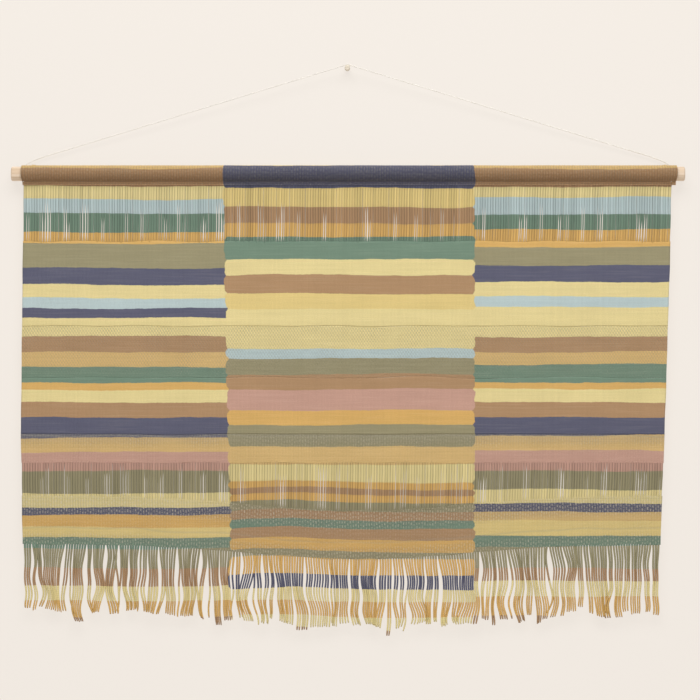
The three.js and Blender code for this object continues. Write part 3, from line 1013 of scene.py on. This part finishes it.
def edge_x(edge, z):
    """Where a side edge lies at height z, carried on straight above and below the bands."""
    heights, places = edge
    slope = (places[-1] - places[0]) / (heights[-1] - heights[0])
    return np.interp(z, heights, places) + slope * (z - np.clip(z, heights[0], heights[-1]))


def width_at(z):
    """Left and right edge of the cloth at height z, a little unsteady."""
    left = edge_x(LEFT_EDGE, z) + 0.5 * MM * gentle(z, 0 * z, 21, 0.06, 1.0)
    right = edge_x(RIGHT_EDGE, z) + 0.5 * MM * gentle(z, 0 * z, 22, 0.07, 1.0)
    return left, right


def rim_line(names, top):
    """The top or foot line of some CAD nodes, smoothed, as places across and heights."""
    places, heights = [], []
    for name in names:
        points = node_points(name)
        for place in np.unique(np.round(points[:, 0], 3)):
            near = points[np.abs(points[:, 0] - place) < 6 * MM]
            places.append(place)
            heights.append(near[:, 2].max() if top else near[:, 2].min())
    order = np.argsort(places)
    fine = np.linspace(min(places), max(places), 400)
    drawn = np.interp(fine, np.array(places)[order], np.array(heights)[order])
    kernel = np.hanning(31) / np.hanning(31).sum()
    padded = np.concatenate([np.full(15, drawn[0]), drawn, np.full(15, drawn[-1])])
    return fine, np.convolve(padded, kernel, mode="valid")


def drape(x, z):
    """How far the cloth stands off its flat plane: soft upright folds that open towards the hem."""
    down = smooth_step((-0.15 - z) / 0.42)
    waves = gentle(x, z, 31, 0.17, 1.4) * 1.7 * MM + gentle(x, z, 32, 0.075, 0.5) * 0.5 * MM
    return down * waves


def level_line(z, seed, reach, across=0.12):
    """A line across the cloth at height z, which wanders by about `reach`."""
    return lambda x: z + reach * gentle(x, 0 * x, seed, across, 1.0)


def shaped_line(line, seed, reach):
    """A line across the cloth that follows a CAD rim and wanders by about `reach`."""
    return lambda x: np.interp(x, *line) + reach * gentle(x, 0 * x, seed, 0.06, 1.0)


def cloth_attributes(x, z, took, back_took, hollow, open_weave, tone):
    """What the cloth's looks need at each point in front, then the same behind: its place on the print,
    how much print it took, how hollow and open it is, both of which also paint shade, and its painted
    light and shade."""
    flat = np.stack([x, 0 * x, z], -1).reshape(-1, 3)
    values = {"hollow": hollow, "open_weave": open_weave, "painted_light_and_shade": tone}
    attributes = {key: np.tile((value + 0 * x).ravel(), 2) for key, value in values.items()}
    attributes["print_place"] = np.concatenate([flat, flat])
    attributes["print_strength"] = np.concatenate([(took + 0 * x).ravel(), np.full(x.size, back_took)])
    return attributes


def hung_sheet(name, front, back, quads, attributes, material):
    """A piece of cloth from its front and back points and its front quads."""
    whole = closed_sheet(quads, len(front))
    rims = len(whole) - 2 * len(quads)
    cloth = build_mesh(name, np.concatenate([front, back]), whole, attributes, rims)
    dress(cloth, material)
    return cloth


def woven_band(name, top, foot, step, relief, material, flat_ends=(0, 0)):
    """One band of cloth as a thin closed sheet between two lines. relief(x, z, share of the way
    down) gives how far its threads stand out, how hollow the cloth is between them, and how much
    undyed thread shows. Its relief flattens towards a line where bare yarns join it."""
    middle = np.linspace(-0.38, 0.38, 50)
    tall = float(np.max(top(middle) - foot(middle)))
    middle_z = float(top(middle).mean() + foot(middle).mean()) / 2
    left, right = width_at(np.array(middle_z))
    columns = int((right - left) / step[0]) + 1
    rows = max(6, int(tall / step[1]) + 1)
    u = np.linspace(0, 1, columns)[None]
    v = np.linspace(0, 1, rows)[:, None]
    level_x = left + u * (right - left)
    z = top(level_x) + v * (foot(level_x) - top(level_x))
    left, right = width_at(z)
    x = left + u * (right - left)
    # The relief's hollowness paints shade into hollows and light onto raised threads; its undyed share
    # also darkens the weave a little as painted shade.
    lift, hollow, bare = relief(x, z, v + 0 * u)
    selvage = CLOTH_HALF * (0.6 + 0.4 * np.clip(np.minimum(u, 1 - u) * columns, 0, 1))
    for flatten, along in zip(flat_ends, (v, 1 - v)):
        lift = lift * (1 - flatten * (1 - smooth_step(along * tall / FLATTEN_REACH)))
    y = CLOTH_Y + drape(x, z)
    front = np.stack([x, y - selvage - lift, z], -1).reshape(-1, 3)
    back = np.stack([x, y + selvage + 0.6 * lift, z], -1).reshape(-1, 3)
    attributes = cloth_attributes(x, z, 1.0, 0.12, hollow, bare, 1.0)
    return hung_sheet(name, front, back, grid_quads(rows, columns), attributes, material)


def ribs_and_picks(x, z, rib_seed, pick_seed, stray=0.4):
    """Upright ribs and level picks, each between -1 and 1, which stray a little from straight."""
    ribs = np.cos(TURN * x / RIB_PITCH + 0.4 * gentle(x, z, rib_seed, 0.05, 0.05))
    picks = np.cos(TURN * z / PICK_PITCH + stray * gentle(x, z, pick_seed, 0.06, 0.03))
    return ribs, picks


def sunk_pick(x, share, middle, reach, seed, across, thick):
    """1 along a wavy line about `middle` of the way down a band, and 0 away from it."""
    line = middle + reach * gentle(x, 0 * x, seed, across, 1.0)
    return np.exp(-(((share - line) / thick) ** 2))


def plain_relief(x, z, _share):
    """Almost flat, and even from the band's top to its foot."""
    lift = PLAIN_LIFT * gentle(x, z, 41, 0.012, 0.010)
    # A constant hollowness that paints a little light, evenly over the band.
    return lift, 0 * x - 0.35, 0.0


def waffle_relief(x, z, share):
    """Staggered dimples, patchy, deepest near the band's top and faded out at its foot."""
    stray = 0.5 * gentle(x, z, 42, 0.05, 0.04)
    cells = np.cos(TURN * x / WAFFLE_WIDTH + stray) * np.cos(TURN * z / WAFFLE_HEIGHT + 0.4 * stray)
    patchy = 0.8 + 0.35 * gentle(x, z, 43, 0.06, 0.05)
    fading = 1 - 0.25 * smooth_step((share - 0.2) / 0.2)
    strength = patchy * fading * smooth_step((1.05 - share) / 0.15)
    # Painted shade in the dimples and painted light on the raised cells.
    return WAFFLE_LIFT * strength * cells, -1.25 * strength * cells, 0.0


def rib_relief(x, z, share):
    """Upright ribs crossed by picks, under one sunk wavy pick with painted shade along it."""
    ribs, picks = ribs_and_picks(x, z, 44, 45, 0.5)
    patchy = (0.75 + 0.4 * gentle(x, z, 49, 0.1, 0.06)).clip(0.2, 1.1)
    patchy = patchy * (1 - 0.7 * smooth_step((share - 0.3) / 0.3))
    line = sunk_pick(x, share, 0.05, 0.04, 50, 0.09, 0.022)
    lift = RIB_LIFT * patchy * ribs + PICK_LIFT * picks - PICK_LINE_DEPTH * line
    # Painted shade between the ribs and along the sunk pick, and painted light on the ribs.
    hollow = np.maximum(-patchy * (0.6 * ribs + 0.4 * picks), 0.9 * line)
    # Painted shade near the band's top that turns to painted light further down.
    hollow = hollow + 0.25 - 0.75 * smooth_step((share - 0.15) / 0.4)
    return lift, hollow, 0.45 * patchy * smooth_step((share - 0.06) / 0.05)


def hem_relief(x, z, share):
    """Coarse ribs near the top and near the foot, and a sunk pick line in the smoother part."""
    ribs, picks = ribs_and_picks(x, z, 46, 47)
    coarse = 1 - 0.75 * smooth_step((share - 0.3) / 0.15) + 0.65 * smooth_step((share - 0.72) / 0.12)
    line = sunk_pick(x, share, 0.66, 0.03, 48, 0.11, 0.018)
    lift = HEM_RIB_LIFT * coarse * ribs + HEM_PICK_LIFT * picks - PICK_LINE_DEPTH * line
    # Painted shade between the coarse ribs and along the sunk pick line, and painted light on the ribs.
    hollow = np.maximum(-coarse * (0.60 * ribs + 0.35 * picks), 0.5 * line)
    return lift, hollow, 0.85 * coarse


PLAIN_CLOTH = cloth_material("printed_plain_weave", 1 / PLAIN_PICK, 0.28 * MM, 0.16)
COARSE_CLOTH = cloth_material("printed_coarse_weave", 1 / COARSE_PICK, 0.40 * MM, 0.20)

upper_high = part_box("plain_upper")[1]
waffle_low, waffle_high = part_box("waffle_band")
rib_low, rib_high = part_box("rib_band")
warp_low, warp_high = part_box("upper_warp_1")
lower_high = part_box("lower_warp_1")[1]
upper_fold_z = (warp_low.z + upper_high.z) / 2
lower_fold_z = (rib_low.z + lower_high.z) / 2


def fold_with(piece):
    """Bakes a piece's placing into its points."""
    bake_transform(piece)


upper_line = level_line(upper_fold_z, 51, 0.8 * MM)
waffle_line = level_line(waffle_high.z, 52, 0.6 * MM)
waffle_end = level_line(waffle_low.z, 53, 1.3 * MM)
rib_line = level_line(rib_high.z, 54, 0.8 * MM, 0.16)
lower_line = level_line(lower_fold_z, 55, 0.6 * MM)
hem_line = shaped_line(rim_line(["hem_band"], True), 56, 0.8 * MM)
hem_end = shaped_line(rim_line(["hem_band"], False), 57, 0.7 * MM)


def make_cloth():
    """The five woven bands, which touch along the lines between them."""
    plain = (PLAIN_STEP, plain_relief, PLAIN_CLOTH)
    upper = woven_band("plain_cloth_upper", upper_line, waffle_line, *plain, flat_ends=(1, 0))
    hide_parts("plain_upper")
    fold_with(upper)
    waffle = woven_band("waffle_cloth", waffle_line, waffle_end, FINE_STEP, waffle_relief, COARSE_CLOTH)
    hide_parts("waffle_band")
    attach(waffle, "upper_cloth")
    lower = woven_band("plain_cloth_lower", waffle_end, rib_line, *plain)
    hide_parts("plain_lower")
    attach(lower, "upper_cloth")
    ribbed = woven_band("ribbed_cloth", rib_line, lower_line, FINE_STEP, rib_relief, COARSE_CLOTH, (0, 1))
    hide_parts("rib_band")
    fold_with(ribbed)
    hem = woven_band("hem_cloth", hem_line, hem_end, FINE_STEP, hem_relief, COARSE_CLOTH, (1, 1))
    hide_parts("hem_band")
    fold_with(hem)


make_cloth()


# ---------------------------------------------------------------- the rod pocket


# Angles go round the rod, in degrees: 0 is towards the wall, 90 is up and 180 is towards the room.
POCKET_THICK = 0.8 * MM
POCKET_SLACK = 1.0 * MM
MOUTH = 12.3 * MM
MOUTH_FLARE = 0.7 * MM
FLARE_REACH = 8 * MM
MOUTH_ANGLE = 118
MOUTH_CURVE = 2.0 * MM
FOOT_ANGLE = 230
BACK_ANGLE = -86
SEAM_DEPTH = 8.85 * MM
# Painted light on the skirt, which the rod above would shade.
SKIRT_PAINTED_LIGHT = 1.25
SKIRT_ROWS = 6
UNDER_ROWS = 5
ROUND_ROWS = 44


def pocket_section(inner, foot_z):
    """The pocket's section: up its short skirt to the seam, forward under the rod, then over the rod
    and down behind it. Heights are from the rod's axis. Returns the inner face, rows by columns, and
    each row's angle."""
    turn = np.radians(np.linspace(FOOT_ANGLE, BACK_ANGLE, ROUND_ROWS))[:, None]
    round_y, round_z = inner * np.cos(turn), inner * np.sin(turn)
    t = np.linspace(0, 1, SKIRT_ROWS)[:, None]
    skirt_y = -0.5 * MM - np.sin(math.pi * t) * 0.25 * MM + 0 * inner
    skirt_z = foot_z + t * (-SEAM_DEPTH - foot_z) + 0 * inner
    t = np.linspace(0, 1, UNDER_ROWS + 2)[1:-1, None]
    under_y = skirt_y[-1:] + t * (round_y[:1] - skirt_y[-1:])
    under_z = skirt_z[-1:] + t**1.5 * (round_z[:1] - skirt_z[-1:])
    angles = np.concatenate([np.full(SKIRT_ROWS + UNDER_ROWS, FOOT_ANGLE), np.degrees(turn[:, 0])])
    y = np.concatenate([skirt_y, under_y, round_y])
    return y, np.concatenate([skirt_z, under_z, round_z]), angles


def pocket_threads(x, z):
    """The pocket's ribs, picks and slow unevenness at each point, each between about -1 and 1."""
    ribs = np.cos(TURN * x / RIB_PITCH + 0.4 * gentle(x, z, 62, 0.05, 0.05))
    return ribs, np.cos(TURN * z / PICK_PITCH), gentle(x, z, 61, 0.11, 0.03)


def make_pocket():
    """The sleeve round the dowel. Its mouths open wider, and are cut away behind for the cord."""
    low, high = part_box("rod_pocket")
    columns = int((high.x - low.x) / FINE_STEP[0])
    x = np.linspace(low.x, high.x, columns)
    inset = np.minimum(x - low.x, high.x - x)
    opened = 1 - smooth_step((inset - MOUTH) / FLARE_REACH)
    inner = ROD_RADIUS + POCKET_SLACK + MOUTH_FLARE * opened
    y, z, angles = pocket_section(inner[None], warp_high.z - ROD_Z)
    along_y, along_z = np.gradient(y, axis=0), np.gradient(z, axis=0)
    length = np.hypot(along_y, along_z)
    x_grid = x[None] + 0 * y
    over_top = ROD_Z + ROD_RADIUS + POCKET_SLACK + POCKET_THICK
    z_printed = np.where(y > 0, 2 * over_top - z - ROD_Z, z + ROD_Z)
    ribs, picks, uneven = pocket_threads(x_grid, z_printed)
    out = POCKET_THICK + 0.18 * MM * ribs + 0.06 * MM * picks + 0.10 * MM * uneven
    out[:SKIRT_ROWS] *= np.linspace(0.35, 1.0, SKIRT_ROWS)[:, None]
    outer_y = y - along_z / length * out
    outer_z = z + along_y / length * out
    quads = grid_quads(len(angles), columns, flip=True)
    row, column = quads.min(axis=1) // columns, quads.min(axis=1) % columns
    cut_away = (angles[row] < MOUTH_ANGLE) & (inset[column] < MOUTH)
    below = np.clip(((angles - 165) / 75) ** 2, 0, 1)[:, None]
    place_x = x_grid - np.sign(x) * MOUTH_CURVE * below * (1 - smooth_step(inset / 0.03))
    outer = np.stack([place_x, outer_y + CLOTH_Y, outer_z + ROD_Z], -1).reshape(-1, 3)
    inside = np.stack([place_x, y + CLOTH_Y, z + ROD_Z], -1).reshape(-1, 3)
    took = 0.1 + 0.9 * smooth_step(1 - (y - 1 * MM) / (7 * MM))
    # Painted light and shade: lighter ribs and darker hollows, the pocket darker overall and round its
    # front and underside, and its skirt lighter.
    hollow = -0.3 - 0.8 * ribs - 0.35 * picks + 0.15 * uneven
    tone = 0.90 - 0.20 * smooth_step((angles - 115) / 100)
    tone[:SKIRT_ROWS] = SKIRT_PAINTED_LIGHT
    attributes = cloth_attributes(x_grid, z_printed, took, 0.1, hollow, 0.24, tone[:, None])
    front = quads[~cut_away]
    pocket = hung_sheet("rod_pocket_cloth", outer, inside, front, attributes, COARSE_CLOTH)
    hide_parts("rod_pocket")
    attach(pocket, "pocket")


make_pocket()


# ---------------------------------------------------------------- bare yarns and fringe


def group_ranges(names):
    """The lowest and highest x of each CAD group of yarns."""
    boxes = [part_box(name) for name in names]
    return np.array([(low.x, high.x) for low, high in boxes])


def yarn_starts(left, right):
    """Even places across for a row of yarns, and their pitch."""
    count = max(2, int(round((right - left) / YARN_PITCH)))
    pitch = (right - left) / count
    return left + (np.arange(count) + 0.5) * pitch, pitch


def yarn_attributes(flat_x, z, wide, turns, tones, side_shade):
    """Where each point of some yarns lies on the print, how much print it took, and its own tone with
    painted shade at the yarn's sides.
    """
    x = flat_x[:, :, None] + wide[:, :, None] * np.cos(turns)
    place = np.stack([x, 0 * x, z[:, :, None] + 0 * x], -1).reshape(-1, 3)
    towards_front = -np.sin(turns)
    strength = 0.15 + 0.85 * smooth_step((towards_front + 0.55) / 0.75)
    # Painted shade towards each yarn's sides.
    shaded = 1 - side_shade[:, None, None] * np.cos(turns) ** 6
    tone = tones[:, None, None] * shaded
    return {"print_place": place, "print_strength": strength.ravel(), "yarn_tone_and_shade": tone.ravel()}


def crossing_yarns(name, x_range, top, foot, seed, open_from, slit):
    """The bare warp yarns of one group, side by side. Some are thinner, in bunches, so that slits
    about a share `slit` of their pitch open beside them, from a share `open_from` of the way down."""
    draw = np.random.default_rng(seed)
    starts, pitch = yarn_starts(*x_range)
    count = len(starts)
    t = np.linspace(0, 1, 18)[None]
    stray = draw.normal(0, 0.02, count)
    bunched = gentle(starts, 0 * starts, 75, 0.035, 1.0) > draw.uniform(-0.2, 1.3, count)
    thin = np.where(bunched, 1 - slit * draw.uniform(0.2, 1.3, count), draw.uniform(1.04, 1.12, count))
    z = top(starts)[:, None] + t * (foot(starts) - top(starts))[:, None]
    left, right = width_at(z)
    top_left, top_right = width_at(z[:, :1])
    share = (starts[:, None] - top_left) / (top_right - top_left)
    flat_x = left + share * (right - left)
    first = open_from + draw.uniform(-0.15, 0.25, count)[:, None]
    opened = smooth_step((t - first) / 0.2) * smooth_step((1.0 - t) / 0.12)
    wide = 0.5 * pitch * (1.10 + (thin[:, None] - 1.10) * opened)
    tucked = smooth_step(np.minimum(t, 1 - t) / 0.10)
    deep = CLOTH_HALF * (0.95 + 0.3 * tucked) + 0 * wide
    x = flat_x + stray[:, None] * pitch * tucked
    y = CLOTH_Y + drape(flat_x, z) + draw.normal(0, 0.12 * MM, count)[:, None] * tucked
    points, quads, turns = tubes(np.stack([x, y, z], -1), wide, deep, 8)
    # Each yarn's own tone, darker on average than the woven cloth, and how much shade is painted at its
    # sides.
    tones = draw.normal(0.88, 0.05, count).clip(0.74, 0.98)
    side_shade = draw.uniform(0.15, 0.65, count)
    attributes = yarn_attributes(flat_x, z, wide, turns, tones, side_shade)
    yarns = dress(build_mesh(name, points, quads, attributes), WARP_FINISH)
    return yarns


def into_upper(x):
    """A line just inside the plain cloth, where the upper open yarns go in."""
    return upper_line(x) - YARN_TUCK


def out_of_ribs(x):
    """A line just inside the ribbed cloth, where the lower open yarns come out."""
    return lower_line(x) + YARN_TUCK


def into_hem(x):
    """A line just inside the hem, where the lower open yarns go in."""
    return hem_line(x) - YARN_TUCK


def make_open_bands():
    """The two bands where the wefts stop and only warp yarns cross, one group at a time."""
    skirt_foot = level_line(warp_high.z + 1.2 * MM, 58, 0.0)
    bands = [
        ("upper", skirt_foot, into_upper, 100, 0.35, 0.32),
        ("lower", out_of_ribs, into_hem, 200, 0.15, 0.19),
    ]
    for fold, top, foot, seed, open_from, slit in bands:
        nodes = [f"{fold}_warp_{k + 1}" for k in range(WARP_GROUPS)]
        ranges = group_ranges(nodes)
        between = (ranges[:-1, 1] + ranges[1:, 0]) / 2
        edges = np.concatenate([ranges[:1, 0], between, ranges[-1:, 1]])
        for k, node in enumerate(nodes):
            name = f"{fold}_open_yarns_{k + 1}"
            yarns = crossing_yarns(name, edges[k : k + 2], top, foot, seed + k, open_from, slit)
            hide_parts(node)
            fold_with(yarns)


# How many strands a clump of fringe has, and how often each size comes up.
CLUMP_SIZES = (1, 2, 3, 4, 5, 7, 9)
CLUMP_CHANCES = (0.15, 0.27, 0.22, 0.16, 0.10, 0.06, 0.04)

# How far down its strand each point is; how far by then it has gone to its place half-way down and
# then to its place at the foot; and how its cut end narrows.
DOWN = np.linspace(0, 1, 28)[None]
PARTING = smooth_step((DOWN + 0.04) / 0.42)
CLOSING = smooth_step((DOWN - 0.35) / 0.6)
TAPER = 1 - 0.35 * smooth_step((DOWN - 0.95) / 0.05)


def clump_strands(draw, count):
    """Splits a row of strands into clumps of a few strands each. Returns each strand's clump."""
    sizes = []
    while sum(sizes) < count:
        sizes.append(int(draw.choice(CLUMP_SIZES, p=CLUMP_CHANCES)))
    return np.repeat(np.arange(len(sizes)), sizes)[:count]


def spread_clumps(clump, tight, gaps):
    """Each strand's place across, in strand pitches from the left, when the clumps are packed by
    `tight` and the room that leaves is shared between them as `gaps`."""
    count = len(clump)
    share = gaps / gaps.sum() * (count - tight[clump].sum())
    before = np.concatenate([[0], np.cumsum(share)[:-1]])
    return np.cumsum(tight[clump]) - 0.5 * tight[clump] + (before + 0.5 * share)[clump]


def kept_over(places, starts):
    """Strand places with most of their slow drift from their starts taken out, so none leans far."""
    window = np.hanning(61) / np.hanning(61).sum()
    drift = np.pad(places - starts, 30, mode="edge")
    return places - 0.75 * np.convolve(drift, window, mode="valid")


def gather_clumps(draw, starts, pitch):
    """Gathers the strands into clumps, some of them combed out. Returns each strand's clump, how
    closely it is packed half-way down and at the foot, how much thinner it is, and where across it
    is half-way down and at the foot."""
    clump = clump_strands(draw, len(starts))
    clumps = clump[-1] + 1
    combed = draw.random(clumps) < COMBED_SHARE
    tight = np.where(combed, draw.uniform(0.80, 0.93, clumps), draw.uniform(0.58, 0.76, clumps))
    half_tight = 0.22 + 0.78 * tight
    thinned = np.where(combed, draw.uniform(0.08, 0.27, clumps), 0.0)[clump]
    gaps = draw.gamma(1.0, 1.0, clumps) + 0.22
    half_gaps = 0.7 * gaps + 0.3 * (draw.gamma(1.0, 1.0, clumps) + 0.3)
    left = starts[0] - 0.5 * pitch
    half_way = kept_over(left + pitch * spread_clumps(clump, half_tight, half_gaps), starts)
    bottom = kept_over(left + pitch * spread_clumps(clump, tight, gaps), starts)
    return clump, half_tight[clump], tight[clump], thinned, half_way, bottom


def strand_sway(draw, starts, clump):
    """How far each strand strays sideways, alone, with its clump and with its neighbours."""
    count, clumps = len(clump), clump[-1] + 1
    stray = draw.normal(0, 0.25 * MM, count)[:, None]
    stray = stray * np.sin(math.pi * DOWN * draw.uniform(0.8, 2.4, count)[:, None])
    wave = draw.normal(0, 1.3 * MM, clumps)[clump][:, None]
    wave = wave * np.sin(math.pi * DOWN * draw.uniform(1.2, 2.4, clumps)[clump][:, None])
    hook = draw.normal(0, 2.0 * MM, clumps)[clump][:, None] * smooth_step((DOWN - 0.6) / 0.4)
    return stray + wave + hook + 3.0 * MM * DOWN * gentle(starts[:, None], 0.09 * DOWN, 72, 0.09, 0.06)


def strand_heights(draw, starts, clump, foot_line):
    """Heights down each strand, from just inside the hem to its uneven cut end."""
    count, clumps = len(clump), clump[-1] + 1
    top = hem_end(starts) + YARN_TUCK
    ends = draw.normal(0, 2.4 * MM, clumps)[clump] + draw.normal(0, 0.45 * MM, count)
    long_ones = np.where(draw.random(clumps) < LONG_SHARE, LONG_BY, 0)[clump]
    foot = np.interp(starts, *foot_line) + 3 * MM + ends - long_ones
    return top[:, None] + DOWN * (foot - top)[:, None]


def strand_depths(draw, starts, clump, top):
    """How far out each strand lies: with the hem's folds at first, then every other one in front
    of its neighbours, and each clump on its own."""
    count, clumps = len(clump), clump[-1] + 1
    y = CLOTH_Y + drape(starts[:, None], top) * (1 - 0.3 * DOWN)
    y = y + 1.4 * MM * DOWN * gentle(starts[:, None], 0.07 * DOWN, 74, 0.04, 0.1)
    y = y + 0.3 * MM * np.where(np.arange(count) % 2, 1, -1)[:, None] * smooth_step(DOWN / 0.4)
    return y + draw.normal(0, 0.8 * MM, clumps)[clump][:, None] * smooth_step((DOWN - 0.1) / 0.6)


def strand_widths(draw, pitch, half_tight, tight, thinned):
    """How far each strand reaches across, with a little room between most of them."""
    count = len(tight)
    packed = 1 + (half_tight - 1)[:, None] * PARTING + (tight - half_tight)[:, None] * CLOSING
    loose = draw.uniform(0.0, 0.14, count)[:, None] * smooth_step((DOWN - 0.15) / 0.3)
    loose = loose + draw.uniform(0.04, 0.26, count)[:, None] * (1 - smooth_step(DOWN / 0.4))
    loose = loose + thinned[:, None] * smooth_step((DOWN + 0.1) / 0.4)
    return 0.5 * pitch * packed * (1.05 - loose) * TAPER


def make_fringe():
    """Loose warp ends under the hem, which gather into clumps that sway and part."""
    draw = np.random.default_rng(73)
    names = [f"fringe_{k + 1:02d}" for k in range(FRINGE_GROUPS)]
    ranges = group_ranges(names)
    starts, pitch = yarn_starts(ranges[0, 0], ranges[-1, 1])
    clump, half_tight, tight, thinned, half_way, bottom = gather_clumps(draw, starts, pitch)
    x = starts[:, None] + (half_way - starts)[:, None] * PARTING + (bottom - half_way)[:, None] * CLOSING
    x = x + strand_sway(draw, starts, clump)
    z = strand_heights(draw, starts, clump, rim_line(names, False))
    y = strand_depths(draw, starts, clump, z[:, :1])
    wide = strand_widths(draw, pitch, half_tight, tight, thinned)
    deep = (0.56 + 0.36 * smooth_step(DOWN / 0.1)) * MM * TAPER + 0 * wide
    tones = draw.normal(0.97, 0.05, len(starts)).clip(0.82, 1.08)
    paths = np.stack([x, y, z], -1)
    flat_x = starts[:, None] + 0 * DOWN
    owner = np.searchsorted((ranges[:-1, 1] + ranges[1:, 0]) / 2, starts)
    for k, node in enumerate(names):
        mine = owner == k
        points, quads, turns = tubes(paths[mine], wide[mine], deep[mine], 8)
        shade = np.full(mine.sum(), FRINGE_SIDE_SHADE)
        attributes = yarn_attributes(flat_x[mine], z[mine], wide[mine], turns, tones[mine], shade)
        name = f"fringe_tassel_{k + 1:02d}"
        tassel = dress(build_mesh(name, points, quads, attributes), FRINGE_FINISH)
        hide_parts(node)
        fold_with(tassel)


WARP_FINISH = yarn_material("printed_warp_yarn", 0.10)
FRINGE_FINISH = yarn_material("printed_fringe_yarn", 0.10)
make_open_bands()
make_fringe()


# ---------------------------------------------------------------- seam stitches


def make_stitches():
    """A straight lock stitch under the dowel: short threads that dip into the cloth."""
    low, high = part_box("pocket_seam")
    pitch, long, thick = 4.2 * MM, 3.1 * MM, 0.24 * MM
    count = int((high.x - low.x) / pitch)
    draw = np.random.default_rng(81)
    middles = low.x + pitch * (np.arange(count) + 0.5) + draw.normal(0, 0.12 * MM, count)
    steps, sides = 7, 6
    t = np.linspace(-1, 1, steps)
    bow = (1 - t**2) * 0.28 * MM
    angle = TURN * np.arange(sides) / sides
    shape = np.sqrt(np.clip(1 - t**2 * 0.85, 0.1, 1))
    x = middles[:, None, None] + (t * long / 2)[None, :, None] + 0 * angle
    y = low.y + 0.35 * MM - bow[None, :, None] + thick * shape[None, :, None] * np.cos(angle) + 0 * x
    z = (low.z + high.z) / 2 + thick * shape[None, :, None] * np.sin(angle) + 0 * x
    points = np.stack([x, y, z], -1).reshape(-1, 3)
    quads = tube_quads(steps, sides, count, flip=True)
    attributes = {
        "print_place": points * (1, 0, 1),
        "print_strength": np.ones(len(points)),
        "yarn_tone_and_shade": np.full(len(points), 0.95),
    }
    stitches = build_mesh("pocket_stitches", points, quads, attributes)
    dress(stitches, yarn_material("printed_seam_thread", 0.05))
    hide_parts("pocket_seam")
    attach(stitches, "pocket")


make_stitches()


# ---------------------------------------------------------------- wall, floor and light


def flat_plane(name, corners, material):
    """A stage surface of one face."""
    plane = build_mesh(name, np.array(corners, float), np.array([[0, 1, 2, 3]]))
    plane.data.materials.append(material)


def area_light(name, place, size, power):
    """A soft lamp that points at the middle of the cloth."""
    data = bpy.data.lights.new(name, "AREA")
    data.shape = "RECTANGLE"
    data.size, data.size_y = size
    data.energy = power
    lamp = bpy.data.objects.new(name, data)
    lamp.location = place
    lamp.rotation_euler = (Vector(LIT_POINT) - Vector(place)).to_track_quat("-Z", "Y").to_euler()
    bpy.context.scene.collection.objects.link(lamp)


def make_daylight():
    """Even light from all round, with colours shown plainly."""
    world = bpy.data.worlds.new("soft_daylight")
    world.use_nodes = True
    sky = world.node_tree.nodes["Background"]
    sky.inputs["Color"].default_value = DAYLIGHT
    sky.inputs["Strength"].default_value = DAYLIGHT_STRENGTH
    bpy.context.scene.world = world
    bpy.context.scene.view_settings.view_transform = "Standard"


WALL = seen_from_front("pale_wall", WALL_PAINT, 3.0, 0.82)
FLOOR = seen_from_front("pale_floor", FLOOR_PAINT, 2.0, 0.3)
wall_foot = [(-STAGE_REACH, 0, FLOOR_Z), (STAGE_REACH, 0, FLOOR_Z)]
flat_plane("wall", wall_foot + [(STAGE_REACH, 0, WALL_TOP), (-STAGE_REACH, 0, WALL_TOP)], WALL)
floor_corners = [(-1, -1), (1, -1), (1, 1), (-1, 1)]
flat_plane("floor", [(x * STAGE_REACH, y * STAGE_REACH, FLOOR_Z) for x, y in floor_corners], FLOOR)
area_light("overhead_soft_light", (0.0, -1.6, 1.6), (2.6, 1.1), 56)
area_light("front_fill", (0.3, -3.2, -0.1), (3.0, 2.4), 11)
area_light("rear_fill", (-0.6, 2.2, 0.9), (2.4, 2.0), 28)
make_daylight()
